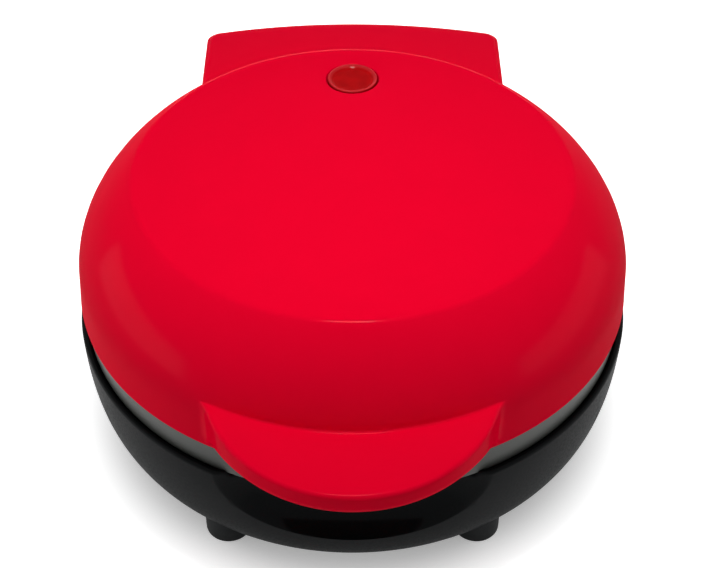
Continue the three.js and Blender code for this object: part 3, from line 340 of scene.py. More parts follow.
def joined(*parts):
    """One mesh of several, each a body of its own in it."""
    whole = bmesh.new()
    for part in parts:
        mesh = bpy.data.meshes.new("part")
        part.to_mesh(mesh)
        whole.from_mesh(mesh)
        bpy.data.meshes.remove(mesh)
        part.free()
    return whole


def object_of(name, bm):
    """Makes an object of a mesh and puts it in the scene."""
    bmesh.ops.recalc_face_normals(bm, faces=bm.faces)
    mesh = bpy.data.meshes.new(name)
    bm.to_mesh(mesh)
    bm.free()
    obj = bpy.data.objects.new(name, mesh)
    bpy.context.scene.collection.objects.link(obj)
    return obj


def smooth(mesh):
    """Shades a mesh smooth but for its sharp edges."""
    mesh.shade_smooth()
    mesh.set_sharp_from_angle(angle=math.radians(SHARP_DEGREES))


def piece(name, bm, body, replaced, slot):
    """Makes a piece that rides on its body and shows in place of a CAD node."""
    obj = object_of(name, bm)
    obj.data.materials.append(materials()[slot])
    smooth(obj.data)
    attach(obj, body)
    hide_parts(replaced)
    return obj


def cut_away(obj, bm):
    """Cuts a solid out of a piece."""
    cutter = object_of("cutter", bm)
    modifier = obj.modifiers.new("cut", "BOOLEAN")
    modifier.operation, modifier.solver, modifier.object = "DIFFERENCE", "EXACT", cutter
    result = bpy.data.meshes.new_from_object(obj.evaluated_get(bpy.context.evaluated_depsgraph_get()))
    obj.modifiers.clear()
    unused = obj.data, cutter.data
    result.name = obj.data.name
    obj.data = result
    bpy.data.objects.remove(cutter)
    for mesh in unused:
        bpy.data.meshes.remove(mesh)


def add_bodies(obj, bm):
    """Adds bodies that overlap a piece to its mesh, after the cuts, which would drop them."""
    bmesh.ops.recalc_face_normals(bm, faces=bm.faces)
    bm.from_mesh(obj.data)
    bm.to_mesh(obj.data)
    bm.free()
    smooth(obj.data)


# Materials


def node(tree, kind, settings=None, links=None):
    """Adds a node with its settings and with links to its inputs."""
    made = tree.nodes.new(kind)
    for key, value in (settings or {}).items():
        if isinstance(key, str) and hasattr(made, key):
            setattr(made, key, value)
        else:
            made.inputs[key].default_value = value
    for key, source in (links or {}).items():
        tree.links.new(source, made.inputs[key])
    return made


def finish(name, settings):
    """A new material with its tree, its one surface shader and the place on the object for its patterns."""
    material = bpy.data.materials.new(name)
    material.use_nodes = True
    tree = material.node_tree
    shader = tree.nodes["Principled BSDF"]
    for key, value in settings.items():
        shader.inputs[key].default_value = value
    return material, tree, shader, node(tree, "ShaderNodeTexCoord").outputs["Object"]


def rgba(value):
    return (*value, 1)


def per_mm(size):
    """The texture scale at which a pattern repeats about once in a length in millimetres."""
    return 1 / (size * MM)


def shades(value, dark, light):
    """Two shades of a colour by their factors."""
    return [tuple(min(1.0, c * factor) for c in value) for factor in (dark, light)]


def carry(tree, shader, pattern, tones, gloss, relief):
    """Carries one pattern into two tones, two roughnesses, and a relief with a depth in mm and a strength."""
    even = node(tree, "ShaderNodeMapRange", {"From Min": 0.3, "From Max": 0.7}, {"Value": pattern}).outputs["Result"]
    blend = node(tree, "ShaderNodeMix", {"data_type": "RGBA", 6: rgba(tones[0]), 7: rgba(tones[1])}, {0: even})
    rough = node(tree, "ShaderNodeMapRange", {"To Min": gloss[0], "To Max": gloss[1]}, {"Value": even})
    bump = node(tree, "ShaderNodeBump", {"Strength": relief[1], "Distance": relief[0] * MM}, {"Height": pattern})
    tree.links.new(blend.outputs[2], shader.inputs["Base Color"])
    tree.links.new(rough.outputs["Result"], shader.inputs["Roughness"])
    tree.links.new(bump.outputs["Normal"], shader.inputs["Normal"])
    return blend.outputs[2]


def patterned(name, settings, kind, pattern, output, tones, gloss, relief):
    """A material whose colour, gloss and relief follow one pattern."""
    material, tree, shader, place = finish(name, settings)
    made = node(tree, kind, pattern, {"Vector": place})
    carry(tree, shader, made.outputs[output], tones, gloss, relief)
    return material


def polished_moulded_polypropylene(colours):
    """Injection moulding from a polished mould: an even strong red, soft gloss and a very slight waviness."""
    settings = {"Specular IOR Level": 0.0, "Coat Weight": 0.03, "Coat Roughness": 0.1, "Coat IOR": 1.49}
    # Sink and flow leave waves about 9 mm long
    waves = "ShaderNodeTexNoise", {"Scale": per_mm(9), "Detail": 1, "Roughness": 0.5}, "Fac"
    looks = shades(colours.lid_red, 0.985, 1), (0.32, 0.37), (0.02, 0.12)
    return patterned("Polypropylene, polished mould", settings, *waves, *looks)


def spark_eroded_moulded_phenolic(colours):
    """Black moulding from an eroded mould: small soft craters that turn every highlight to satin."""
    coat = {"Coat Weight": 0.05, "Coat Roughness": 0.12, "Coat IOR": 1.55}
    settings = {"IOR": 1.55, "Specular IOR Level": 0.01, **coat}
    # Real craters are near 0.1 mm, too fine to show, so they are drawn 0.6 mm wide
    crater_shape = {"feature": "SMOOTH_F1", "Scale": per_mm(0.6), "Smoothness": 0.6}
    craters = "ShaderNodeTexVoronoi", crater_shape, "Distance"
    looks = shades(colours.base_black, 0.92, 1.1), (0.44, 0.56), (0.03, 0.22)
    return patterned("Phenolic, spark-eroded mould", settings, *craters, *looks)


def sprayed_nonstick_on_cast_aluminium(colours):
    """Grey sprayed coat on a casting: fine flecks of two greys and a soft metallic sheen."""
    # Spray flecks of about 0.3 mm, drawn at 0.8 mm to show
    flecks = "ShaderNodeTexNoise", {"Scale": per_mm(0.8), "Detail": 4, "Roughness": 0.7}, "Fac"
    looks = shades(colours.plate_grey, 0.82, 1.14), (0.4, 0.52), (0.02, 0.2)
    return patterned("Cast aluminium, sprayed non-stick coat", {"IOR": 1.4, "Metallic": 0.15}, *flecks, *looks)


def moulded_rubber(colours):
    """Matt black rubber: a dry skin with a slight bloom in soft patches."""
    # Bloom gathers in patches of a few millimetres
    bloom = "ShaderNodeTexNoise", {"Scale": per_mm(3), "Detail": 5, "Roughness": 0.65}, "Fac"
    looks = shades(colours.foot_black, 0.85, 1.3), (0.74, 0.86), (0.04, 0.3)
    return patterned("Nitrile rubber, moulded", {"IOR": 1.52, "Specular IOR Level": 0.2}, *bloom, *looks)


def moulded_polycarbonate_lens(colours, top):
    """Clear red moulding over a dark space: deep colour with painted shade in soft patches, a painted highlight along
    the raised edge, a sharp gloss.
    """
    material, tree, shader, place = finish(
        "Polycarbonate, polished red lens",
        {"IOR": 1.58, "Specular IOR Level": 0.0, "Coat Weight": 0.06, "Coat Roughness": 0.05, "Coat IOR": 1.58},
    )
    # Painted shade: the dark lamp space showing through is painted as darker soft patches
    depth = node(tree, "ShaderNodeTexNoise", {"Scale": per_mm(4), "Detail": 1, "Roughness": 0.4}, {"Vector": place})
    painted_shade_red = carry(tree, shader, depth.outputs["Fac"], shades(colours.lens_red, 0.78, 1), (0.06, 0.1), (0.01, 0.06))
    # The raised edge is clear through its whole thickness; a painted highlight makes it lighter over its last 0.7 mm
    edge_height, full_height, lightest = 0.7, 0.15, 0.6
    upper = {"From Min": (top - edge_height) * MM, "From Max": (top - full_height) * MM, "To Max": lightest}
    height = node(tree, "ShaderNodeSeparateXYZ", links={0: place})
    edge = node(tree, "ShaderNodeMapRange", upper, {"Value": height.outputs["Z"]})
    # Colour of the painted highlight on the raised edge
    painted_highlight_red = {"data_type": "RGBA", 7: rgba(linear("#D8383F"))}
    painted_edge_highlight = node(tree, "ShaderNodeMix", painted_highlight_red, {0: edge.outputs["Result"], 6: painted_shade_red})
    tree.links.new(painted_edge_highlight.outputs[2], shader.inputs["Base Color"])
    return material


def drawn_nickel_alloy_tube():
    """Heated tube: dull grey-brown, with fine drawing lines along its run."""
    material, tree, shader, place = finish("Nickel alloy tube, drawn and heat-dulled", {"Metallic": 0.85})
    level = node(tree, "ShaderNodeVectorMath", {"operation": "MULTIPLY", 1: (1, 1, 0)}, {0: place})
    away = node(tree, "ShaderNodeVectorMath", {"operation": "LENGTH"}, {0: level.outputs["Vector"]})
    height = node(tree, "ShaderNodeSeparateXYZ", links={0: place})
    across = node(tree, "ShaderNodeCombineXYZ", links={"X": away.outputs["Value"], "Y": height.outputs["Z"]})
    # Drawing lines of about 0.1 mm, drawn 0.4 mm apart; the tube runs round, so they follow its radius
    line = node(tree, "ShaderNodeTexNoise", {"Scale": per_mm(0.4), "Detail": 2}, {"Vector": across.outputs["Vector"]})
    tones = linear("#5E564C"), linear("#77736C")
    carry(tree, shader, line.outputs["Fac"], tones, (0.38, 0.52), (0.01, 0.2))
    return material


def rolled_aluminised_steel():
    """Dipped and rolled sheet: a soft mirror broken into faint crystal patches."""
    material, tree, shader, place = finish("Aluminised steel, rolled and pressed", {"Metallic": 1.0})
    # Coating crystals of 2 to 3 mm
    spangle = node(tree, "ShaderNodeTexVoronoi", {"Scale": per_mm(2.5), "Randomness": 1.0}, {"Vector": place})
    shade = node(tree, "ShaderNodeSeparateColor", links={0: spangle.outputs["Color"]})
    tones = linear("#AEB0AE"), linear("#C1C2BF")
    carry(tree, shader, shade.outputs["Red"], tones, (0.3, 0.42), (0.004, 0.1))
    return material


def cold_headed_zinc_plated_steel():
    """Bright plated wire: small sharp highlights and a faint pitting."""
    # Plating grain of about 0.05 mm, drawn at 0.5 mm
    pits = "ShaderNodeTexNoise", {"Scale": per_mm(0.5), "Detail": 3, "Roughness": 0.6}, "Fac"
    looks = (linear("#B9BAB6"), linear("#CDCECB")), (0.22, 0.34), (0.005, 0.15)
    return patterned("Zinc-plated steel, cold-headed", {"Metallic": 1.0}, *pits, *looks)


def moulded_nylon(name, dark, light):
    """Dull moulding: faint cloudy flow marks and a fine tool texture."""
    # Tool texture of about 0.2 mm, drawn at 0.5 mm
    flow = "ShaderNodeTexNoise", {"Scale": per_mm(0.5), "Detail": 3, "Distortion": 0.6}, "Fac"
    return patterned(name, {"IOR": 1.53}, *flow, (linear(dark), linear(light)), (0.48, 0.6), (0.02, 0.2))


def drawn_lamp_glass():
    """Drawn tube glass: clear, with a sharp gloss and slow waves along the tube."""
    # Waves of about 2 mm left by the drawing
    waves = "ShaderNodeTexNoise", {"Scale": per_mm(2), "Detail": 1}, "Fac"
    looks = (linear("#EFE9E0"), linear("#F6F1EA")), (0.04, 0.08), (0.002, 0.1)
    return patterned("Soda-lime glass, drawn", {"IOR": 1.52, "Transmission Weight": 0.9}, *waves, *looks)


def braided_glass_fibre():
    """Braided sleeve: dry pale threads crossing in both directions."""
    material, tree, shader, place = finish("Glass-fibre sleeve, braided", {"Sheen Weight": 0.2})
    threads = []
    for turn in (45, -45):
        slant = node(tree, "ShaderNodeMapping", {"Rotation": (0, 0, math.radians(turn))}, {"Vector": place})
        # Threads 0.6 mm apart; a wave node repeats about once in a sixth of its scale's length
        wave = node(tree, "ShaderNodeTexWave", {"Scale": per_mm(0.6) / 6}, {"Vector": slant.outputs["Vector"]})
        threads.append(wave.outputs["Fac"])
    crossing = node(tree, "ShaderNodeMath", {"operation": "MULTIPLY"}, dict(enumerate(threads)))
    tones = linear("#B9B19A"), linear("#E2DCC9")
    carry(tree, shader, crossing.outputs[0], tones, (0.8, 0.92), (0.08, 0.4))
    return material


FINISHES = {}


def materials():
    """All finishes by their slot, made once."""
    if FINISHES:
        return FINISHES
    group = bpy.context.scene.griddle_colours
    colours = SimpleNamespace(**{name: tuple(getattr(group, name)) for name in GriddleColours.__annotations__})
    FINISHES.update({
        "red_housing": polished_moulded_polypropylene(colours),
        "black_housing": spark_eroded_moulded_phenolic(colours),
        "plate_coating": sprayed_nonstick_on_cast_aluminium(colours),
        "foot_rubber": moulded_rubber(colours),
        "lens_red": moulded_polycarbonate_lens(colours, sizes(bpy.context).lid_top),
        "element_steel": drawn_nickel_alloy_tube(),
        "shield_steel": rolled_aluminised_steel(),
        "fastener_steel": cold_headed_zinc_plated_steel(),
        "dark_nylon": moulded_nylon("Nylon, moulded black", "#1B1C1D", "#232425"),
        "white_nylon": moulded_nylon("Nylon, moulded natural white", "#E2DED2", "#ECE9E0"),
        "lamp_glass": drawn_lamp_glass(),
        "fuse_sleeve": braided_glass_fibre(),
    })
    return FINISHES


# Lid


def lid_profile(s, distance):
    """The lid's wall up to the flat top, set in by a distance, and how many of its points lie below the crown."""
    shoulder_radius = s.lid_radius - SHOULDER_INSET
    shoulder_z = s.parting + s.lid_skirt
    slope = math.radians(SHOULDER_DEGREES)
    pull = (shoulder_radius - s.disc_radius) * SHOULDER_TOP_PULL
    side = (s.lid_top - s.parting - s.lid_skirt) * SHOULDER_SIDE_PULL
    wall = bezier(
        [
            (shoulder_radius, shoulder_z),
            (shoulder_radius, shoulder_z + side),
            (s.disc_radius + pull * math.cos(slope), s.lid_top - pull * math.sin(slope)),
            (s.disc_radius, s.lid_top),
        ],
        48,
    )
    lead = s.disc_fillet * math.tan(slope / 2)
    crown = arc(s.disc_radius - lead, s.lid_top - s.disc_fillet, s.disc_fillet, 90 - SHOULDER_DEGREES, 90, 8)
    wall = wall[wall[:, 1] < crown[0, 1] - 0.05]
    skirt = np.linspace((s.lid_radius, s.parting), (shoulder_radius, shoulder_z), 7)[:-1]
    points = np.concatenate([skirt, wall, crown])
    return inset(points, distance), len(skirt) + len(wall)


def block_distance(s, x, y, margin, corner):
    """Distance from the hinge block's outline, seen from above; negative inside."""
    half = s.block_half_width - margin
    bow = s.block_bow - margin
    bow_centre = s.block_reach - s.block_bow
    shoulder = bow_centre + math.sqrt(bow**2 - (half - corner) ** 2) - corner
    root_half = s.block_half_width - s.block_taper
    root = math.sqrt(s.disc_radius**2 - root_half**2)
    taper = s.block_taper * np.clip((shoulder - y) / (shoulder - root), 0, 1)
    side = np.abs(x) - half + taper + corner
    back = np.hypot(x, y - bow_centre) - bow + corner
    outside = np.hypot(np.maximum(side, 0), np.maximum(back, 0))
    return outside + np.minimum(np.maximum(side, back), 0) - corner


def block_reach_along(s, angles, margin, corner):
    """Distance from the axis to the hinge block's outline along each column, or zero where it isn't met."""
    # The outline lies somewhere between these two, and each turn halves what is left
    low, high = np.full(len(angles), 60.0), np.full(len(angles), 125.0)
    behind = np.cos(angles) < -0.5
    met = behind & (block_distance(s, low * np.sin(angles), -low * np.cos(angles), margin, corner) < 0)
    for _ in range(36):
        middle = (low + high) / 2
        inside = block_distance(s, middle * np.sin(angles), -middle * np.cos(angles), margin, corner) < 0
        low, high = np.where(inside, middle, low), np.where(inside, high, middle)
    return np.where(met, low, 0.0)


def tab_reach_along(s, angles, margin):
    """Distance from the axis to the tab's outline along each column, or zero where it isn't met."""
    centre = s.tab_reach - s.tab_radius
    under = (s.tab_radius - margin) ** 2 - (centre * np.sin(angles)) ** 2
    met = (under > 0) & (np.cos(angles) > 0)
    return np.where(met, centre * np.cos(angles) + np.sqrt(np.maximum(under, 0)), 0.0)


def tab_climb(share):
    """How much of its lift the tab's lower edge has at a share of the way to its tip."""
    return 1 - (1 - share) ** 3


def lid_shell_rows(s):
    """Closed rows over the lid's outside, down the lens hole, along its inside and under its edges."""
    angles = fine_columns()
    cosine = np.cos(angles)
    # Nothing at the tab, one at the hinge block
    back = smooth_step(50, 130, degrees_from_front(angles))
    top = s.parting + s.tab_top + (s.block_top - s.tab_top) * back
    edge = s.tab_fillet + (s.block_edge - s.tab_fillet) * back
    tuck = s.tab_tuck + (s.block_tuck - s.tab_tuck) * back
    # How softly tab and block run into the lid's wall
    blend = 2.6 - 1.4 * back
    outer, crown_start = lid_profile(s, 0)
    inner, _ = lid_profile(s, s.lid_wall)
    tab_centre = s.tab_reach - s.tab_radius
    # How far in front of the axis the tab's outline leaves the lid's lower edge
    root_y = (s.lid_radius**2 - s.tab_radius**2 + tab_centre**2) / (2 * tab_centre)
    rows = []

    def add(r, z):
        rows.append(round_row(angles, r, z))

    def reach(tab_margin, block_margin, corner=s.block_corner):
        tab, block = tab_reach_along(s, angles, tab_margin), block_reach_along(s, angles, block_margin, corner)
        return np.where(back < 0.5, tab, block)

    def lean(r):
        """The block's top slopes down to the back, and the tab's top a little to its tip."""
        at_tab = TAB_SLOPE * (1 - back) * np.maximum(r * cosine - root_y, 0)
        return BLOCK_SLOPE * back * (s.block_reach + r * cosine) - at_tab

    def wall_radius(z):
        return np.interp(z, outer[:, 1], outer[:, 0])

    def on_wall(height):
        """Where a surface meets the lid's wall, along each column."""
        r = np.full(len(angles), s.lid_radius)
        for _ in range(12):
            r = wall_radius(height(r))
        return r

    def add_outside(reached, height):
        """A row at the outline of tab and block, run smoothly into the lid's wall between them."""
        r = smooth_max(reached, on_wall(height), blend)
        add(r, height(r))
        return r

    full_reach = reach(0, 0)
    stands_out = full_reach > s.lid_radius
    climb = np.clip((full_reach * cosine - root_y) / (s.tab_reach - root_y), 0, 1)
    under_tab = s.parting + s.tab_lift * tab_climb(climb) * stands_out
    low = np.where(back < 0.5, under_tab, np.where(stands_out, s.hinge_z, s.parting))

    # The lower edge, the side, the top edge and the top of tab and block
    for angle in (0, *quarter(8)):
        inward = 1 - math.sin(angle)
        add_outside(reach(s.tab_tuck * inward, s.block_tuck * inward), lambda r: low + tuck * (1 - math.cos(angle)))
    for share in shares(8):
        add_outside(full_reach, lambda r: low + tuck + share * (top + lean(r) - edge - low - tuck))
    for angle in quarter(8):
        inward = 1 - math.cos(angle)
        reached = reach(s.tab_fillet * inward, s.block_edge * inward)
        shelf_end = add_outside(reached, lambda r: top + lean(r) - edge * (1 - math.sin(angle)))
    foot_radius = on_wall(lambda r: top + lean(r))
    root_fillet = 0.6 + 1.0 * back
    fillet = np.minimum(root_fillet, np.maximum(shelf_end - foot_radius, 0))
    for share in shares(8):
        r = shelf_end + share * (foot_radius + fillet - shelf_end)
        add(r, top + lean(r))

    # The fillet up into the lid's wall, the wall and its crown
    start = np.stack([foot_radius + fillet, top + lean(foot_radius + fillet)])
    corner = np.stack([foot_radius, top + lean(foot_radius)])
    end_z = corner[1] + root_fillet
    end = np.stack([wall_radius(end_z), end_z])
    for t in shares(7):
        add(*curved(start, corner, end, t))
    along = np.concatenate([[0], np.cumsum(np.linalg.norm(np.diff(outer, axis=0), axis=1))])
    begin = np.interp(end_z, outer[:, 1], along)
    for share in shares(33):
        place = begin + share * (along[crown_start] - begin)
        add(np.interp(place, along, outer[:, 0]), np.interp(place, along, outer[:, 1]))
    for r, z in outer[crown_start + 1 :]:
        add(r, z)

    # The flat top, from its edge in to the lens hole with its shallow dished seat
    centre = np.array([0, s.lens_y])
    away = rows[-1][:, :2] - centre
    distance = np.linalg.norm(away, axis=1)
    facing = away / distance[:, None]

    def add_ring(radius, z):
        """A row about the lens, at one radius or one for every column."""
        spot = centre + facing * (radius + 0 * distance)[:, None]
        rows.append(np.column_stack([spot, z + 0 * distance]))

    # A narrow gap is left round the lens
    hole, hole_edge = s.lens_radius + 0.42, 0.4
    dish_outer, dish_depth = 12.0, 0.38
    collar_wall, collar_height = 1.8, 4
    for share in shares(6):
        add_ring(distance + share * (dish_outer - distance), s.lid_top)
    for radius in np.linspace(dish_outer, hole + hole_edge, 12)[1:]:
        add_ring(radius, s.lid_top - dish_depth * (1 - smooth_step(hole, dish_outer, radius)))
    seat = s.lid_top - dish_depth
    for angle in quarter(3):
        add_ring(hole + hole_edge * (1 - math.sin(angle)), seat - hole_edge * (1 - math.cos(angle)))
    ceiling = s.lid_top - s.lid_wall
    collar_z = ceiling - collar_height
    for radius, z in ((hole, collar_z), (hole + collar_wall, collar_z), (hole + collar_wall, ceiling)):
        add_ring(radius, z)
    for r, z in inner[::-1]:
        add(r, z)

    # Under the rim, up the dome's wall inside tab and block, and back down their own walls
    add(s.lid_radius - s.lid_wall, s.parting)
    inner_reach = reach(s.lid_wall, s.lid_wall, max(s.block_corner - s.lid_wall / 2, 0.5))
    # Tab and block are hollow where their inside reaches past the lid's edge
    open_here = inner_reach > s.lid_radius + 0.3
    roof = np.where(open_here, top - s.lid_wall, low)

    def roof_at(r):
        return roof + np.where(open_here, lean(r), 0)

    for share in (0, *shares(5)):
        r = on_wall(lambda r: s.parting + share * (roof_at(r) - s.parting))
        z = s.parting + share * (roof_at(r) - s.parting)
        add(np.where(open_here, r, s.lid_radius), np.where(open_here, z, s.parting))
    wide = np.where(open_here, np.maximum(inner_reach, wall_radius(roof_at(inner_reach))), s.lid_radius)
    add(wide, np.where(open_here, roof_at(wide), s.parting))
    add(wide, low)
    return rows


def tab_ribs(s):
    """Thin ribs across the hollow under the tab, let a little into the walls round it."""
    into_wall, half_thickness, edge = 0.2, 0.7, 0.15
    centre = s.tab_reach - s.tab_radius
    roof = s.parting + s.tab_top - s.lid_wall + into_wall
    ribs = []
    for x in (-24, -12, 0, 12, 24):
        front = centre + math.sqrt((s.tab_radius - s.lid_wall + into_wall) ** 2 - x * x)
        near = math.sqrt((s.lid_radius - 1.4) ** 2 - x * x)
        fall = TAB_SLOPE * (front - near)
        lower = []
        for t in np.linspace(0, 1, 9):
            z = s.parting + s.lid_wall + s.tab_lift * tab_climb(t)
            lower.append((-(near + (front - near) * t), min(z, roof - 0.1 - fall * t)))
        outline = [(-near, roof), *lower, (-front, roof - fall)]
        ribs.append(bar(outline, x - half_thickness, x + half_thickness, edge))
    return ribs


def lid_knuckle(s, side):
    """A round knuckle of the lid at one end of the hinge, with a recess for the pin's head."""
    inner, outer = BARREL_HALF + KNUCKLE_GAP, s.block_half_width - 0.3
    chamfer, recess_radius, recess_depth = 0.3, 3.0, 1.2
    profile = [
        (PIN_BORE_RADIUS, inner),
        (HINGE_RADIUS - chamfer, inner),
        (HINGE_RADIUS, inner + chamfer),
        (HINGE_RADIUS, outer - chamfer),
        (HINGE_RADIUS - chamfer, outer),
        (recess_radius, outer),
        (recess_radius, outer - recess_depth),
        (PIN_BORE_RADIUS, outer - recess_depth),
    ]
    bm = lying(turned(profile, 64, closed=True))
    if side < 0:
        bm = rotated(bm, 180, "Z")
    return moved(bm, y=s.hinge_y, z=s.hinge_z)


class GRIDDLE_OT_lid(bpy.types.Operator):
    """Makes the lid shell with its lifting tab and hinge block"""

    bl_idname = "griddle.lid"
    bl_label = "Lid shell"

    def execute(self, context):
        s = sizes(context)
        shell = mesh_from_grid(lid_shell_rows(s), closed_rows=True)
        whole = joined(shell, *tab_ribs(s), lid_knuckle(s, 1), lid_knuckle(s, -1))
        piece("lid_shell", whole, "lid", "lid_housing", "red_housing")
        return {"FINISHED"}


# Base


def bowl_profile(s, distance):
    """The bowl's wall from its flat floor up to the rim, set in by a distance."""
    flank = (s.bowl_rim - s.bowl_bottom) * BOWL_FLANK_PULL
    heel = (s.bowl_radius - s.bowl_floor) * BOWL_HEEL_PULL
    wall = bezier(
        [
            (s.bowl_floor, s.bowl_bottom),
            (s.bowl_floor + heel, s.bowl_bottom),
            (s.bowl_radius, s.bowl_rim - flank),
            (s.bowl_radius, s.bowl_rim),
        ],
        60,
    )
    return inset(wall, distance)


def base_shell_rows(s):
    """Rows from the middle of the floor over the outside, the rim and the inside back to the middle."""
    angles = fine_columns()
    sine, cosine = np.sin(angles), np.cos(angles)
    turn = degrees_from_front(angles)
    outer, inner = bowl_profile(s, 0), bowl_profile(s, s.bowl_wall)
    rows = []

    def add(r, z):
        rows.append(round_row(angles, r, z))

    def bowl_radius(z):
        return np.interp(z, outer[:, 1], outer[:, 0])

    def scoop_radius(z, grow=0):
        """Distance along each column to the near side of the scoop's ellipsoid at a height."""
        a, b, c = s.scoop_half_width + grow, s.scoop_reach + grow, s.scoop_drop + grow
        square = sine**2 / a**2 + cosine**2 / b**2
        mixed = s.bowl_radius * cosine / b**2
        rest = (s.bowl_radius / b) ** 2 - 1 + ((z - s.bowl_rim) / c) ** 2
        under = mixed**2 - square * rest
        # Past the ellipsoid's side or bottom the near side runs on outwards without a jump
        beyond = 8 * np.sqrt(np.maximum(-under, 0))
        return np.where(cosine > 0, (mixed - np.sqrt(np.maximum(under, 0)) + beyond) / square, FAR_OUT)

    def block_reach(margin):
        return block_reach_along(s, angles, BASE_BLOCK_INSET + margin, max(BASE_BLOCK_CORNER - margin, 1.0))

    # The block's top lies just under the back wall of the open lid
    past_upright = math.radians(OPEN_DEGREES - 90)
    open_gap = s.block_reach - s.hinge_y + STOP_GAP
    stop_y = s.hinge_y - open_gap * math.sin(past_upright)
    stop_z = s.hinge_z - open_gap * math.cos(past_upright)

    def block_top(r):
        return stop_z - math.tan(past_upright) * (-r * cosine - stop_y)

    # The flat floor
    for r in (0, 20, 40, 50):
        add(r, s.bowl_bottom)

    # Wall rows: the bowl, with the hinge block standing out of it and the scoop let into it
    block_low, block_edge, top_edge = s.parting - BASE_BLOCK_DROP, 4.0, 0.8
    outline = block_reach(0)
    has_block = outline > s.bowl_radius
    for z in (*outer[outer[:, 1] < block_low, 1], block_low):
        add(bowl_radius(z), z)
    root = bowl_radius(block_low)
    low_reach = np.maximum(block_reach(block_edge), root)
    for share in shares(7):
        add(np.where(has_block, root + share * (low_reach - root), root), block_low)

    # Height of the scoop's lip along each column, found by halving
    low, high = np.full(len(angles), block_low), np.full(len(angles), s.bowl_rim)
    for _ in range(30):
        middle = (low + high) / 2
        inside = scoop_radius(middle) < bowl_radius(middle)
        low, high = np.where(inside, low, middle), np.where(inside, middle, high)
    lip = np.clip(low, block_low + block_edge + 3, s.bowl_rim - 6.5)
    # Where the rows of the wall end and those of the rim begin, away from the block
    plain_top = np.where(turn > 60, 30.0, s.bowl_rim - 3.4)
    # The lip is softer towards the scoop's ends
    lip_blend = 2.0 + 2.0 * smooth_step(10, 26, turn)

    def level(z, reached=0):
        """The wall at a height: the bowl or what stands out of it, less the scoop."""
        return smooth_min(smooth_max(reached, bowl_radius(z), 1.0), scoop_radius(z), lip_blend)

    for angle in quarter(8):
        z = block_low + block_edge * (1 - math.cos(angle))
        add(level(z, block_reach(block_edge * (1 - math.sin(angle)))), z)
    side_low = block_low + block_edge
    top_here = np.where(has_block, block_top(outline), plain_top)
    for share in shares(60):
        climb = side_low + share * (top_here - top_edge - side_low)
        # In front, half of the rows lie within two millimetres of the lip
        below = side_low + (lip - 2 - side_low) * share / 0.25
        near = lip - 2 + 4 * (share - 0.25) / 0.5
        above = lip + 2 + (plain_top - top_edge - lip - 2) * (share - 0.75) / 0.25
        follow = np.where(share < 0.25, below, np.where(share < 0.75, near, above))
        z = np.where(has_block | (turn > 60), climb, follow)
        add(level(z, outline), z)
    for angle in quarter(4):
        z = top_here - top_edge * (1 - math.sin(angle))
        edge_r = level(z, block_reach(top_edge * (1 - math.cos(angle))))
        add(edge_r, z)
    back_r = level(top_here)
    for share in shares(7):
        r = np.where(has_block, edge_r + share * (back_r - edge_r), edge_r)
        start_z = np.where(has_block, block_top(r), plain_top)
        add(r, start_z)

    # The rim, lower where the scoop has cut into its groove
    rim_fillet, rim_chamfer, groove = 0.9, 0.25, s.bowl_radius - s.rim_wall
    rim_z = s.bowl_rim - 1.4 * smooth_step(groove + 1.6, groove - 0.2, scoop_radius(s.bowl_rim))
    for share in shares(11):
        z = start_z + share * (rim_z - rim_fillet - start_z)
        add(level(z), z)
    outer_top = level(rim_z - rim_fillet)
    inner_top = np.minimum(groove, outer_top - s.rim_wall)
    for angle in quarter(5):
        add(outer_top - rim_fillet * (1 - math.cos(angle)), rim_z - rim_fillet * (1 - math.sin(angle)))
    add(inner_top + rim_chamfer, rim_z)
    add(inner_top, rim_z - rim_chamfer)
    add(inner_top, rim_z - 2.2)

    # Inside, down to the floor
    for z in inner[::-4, 1]:
        height = np.minimum(z, rim_z - 2.4)
        add(np.minimum(np.interp(height, inner[:, 1], inner[:, 0]), scoop_radius(height, s.bowl_wall)), height)
    for r in (40, 0):
        add(r, s.bowl_bottom + s.bowl_wall)
    return rows


def hinge_neck(s):
    """The neck between the bowl and the hinge barrel, clear of the lid's back wall when it is open."""
    low, top, back = s.hinge_z - 17, s.parting - 1, s.hinge_y - 1.6
    into_bowl, columns = 1.5, 41
    rows = []
    for x in np.linspace(-BARREL_HALF, BARREL_HALF, columns):
        front = math.sqrt((s.bowl_radius - into_bowl) ** 2 - x * x)
        under_barrel = [(back, low), (back, s.hinge_z - 4.8), (s.hinge_y + 2.6, s.hinge_z - 2.6)]
        outline = rounded([(front, low), *under_barrel, (s.hinge_y, top), (front, top)], 1.0, 3)
        rows.append(np.array([(x, y, z) for y, z in outline]))
    return capped(rows)


def hinge_barrel(s):
    """The base's part of the hinge, with a blind bore for a pin in each end."""
    chamfer, bore_end = 0.4, 21.5
    half = [
        (HINGE_RADIUS, BARREL_HALF - chamfer),
        (HINGE_RADIUS - chamfer, BARREL_HALF),
        (PIN_BORE_RADIUS, BARREL_HALF),
        (PIN_BORE_RADIUS, bore_end),
        (0, bore_end),
    ]
    profile = [(r, -x) for r, x in half[::-1]] + half
    return moved(lying(turned(profile, 64)), y=s.hinge_y, z=s.hinge_z)


def rod(radius, start, end):
    """The profile of a plain closed rod."""
    return [(0, start), (radius, start), (radius, end), (0, end)]


def at_cord_outlet(bm):
    """Turns an upright piece into one about the axis of the cord's outlet."""
    height = (cad("cord_gland", LOW, Z) + cad("cord_gland", HIGH, Z)) / 2
    return moved(rotated(bm, -90, "X"), z=height)


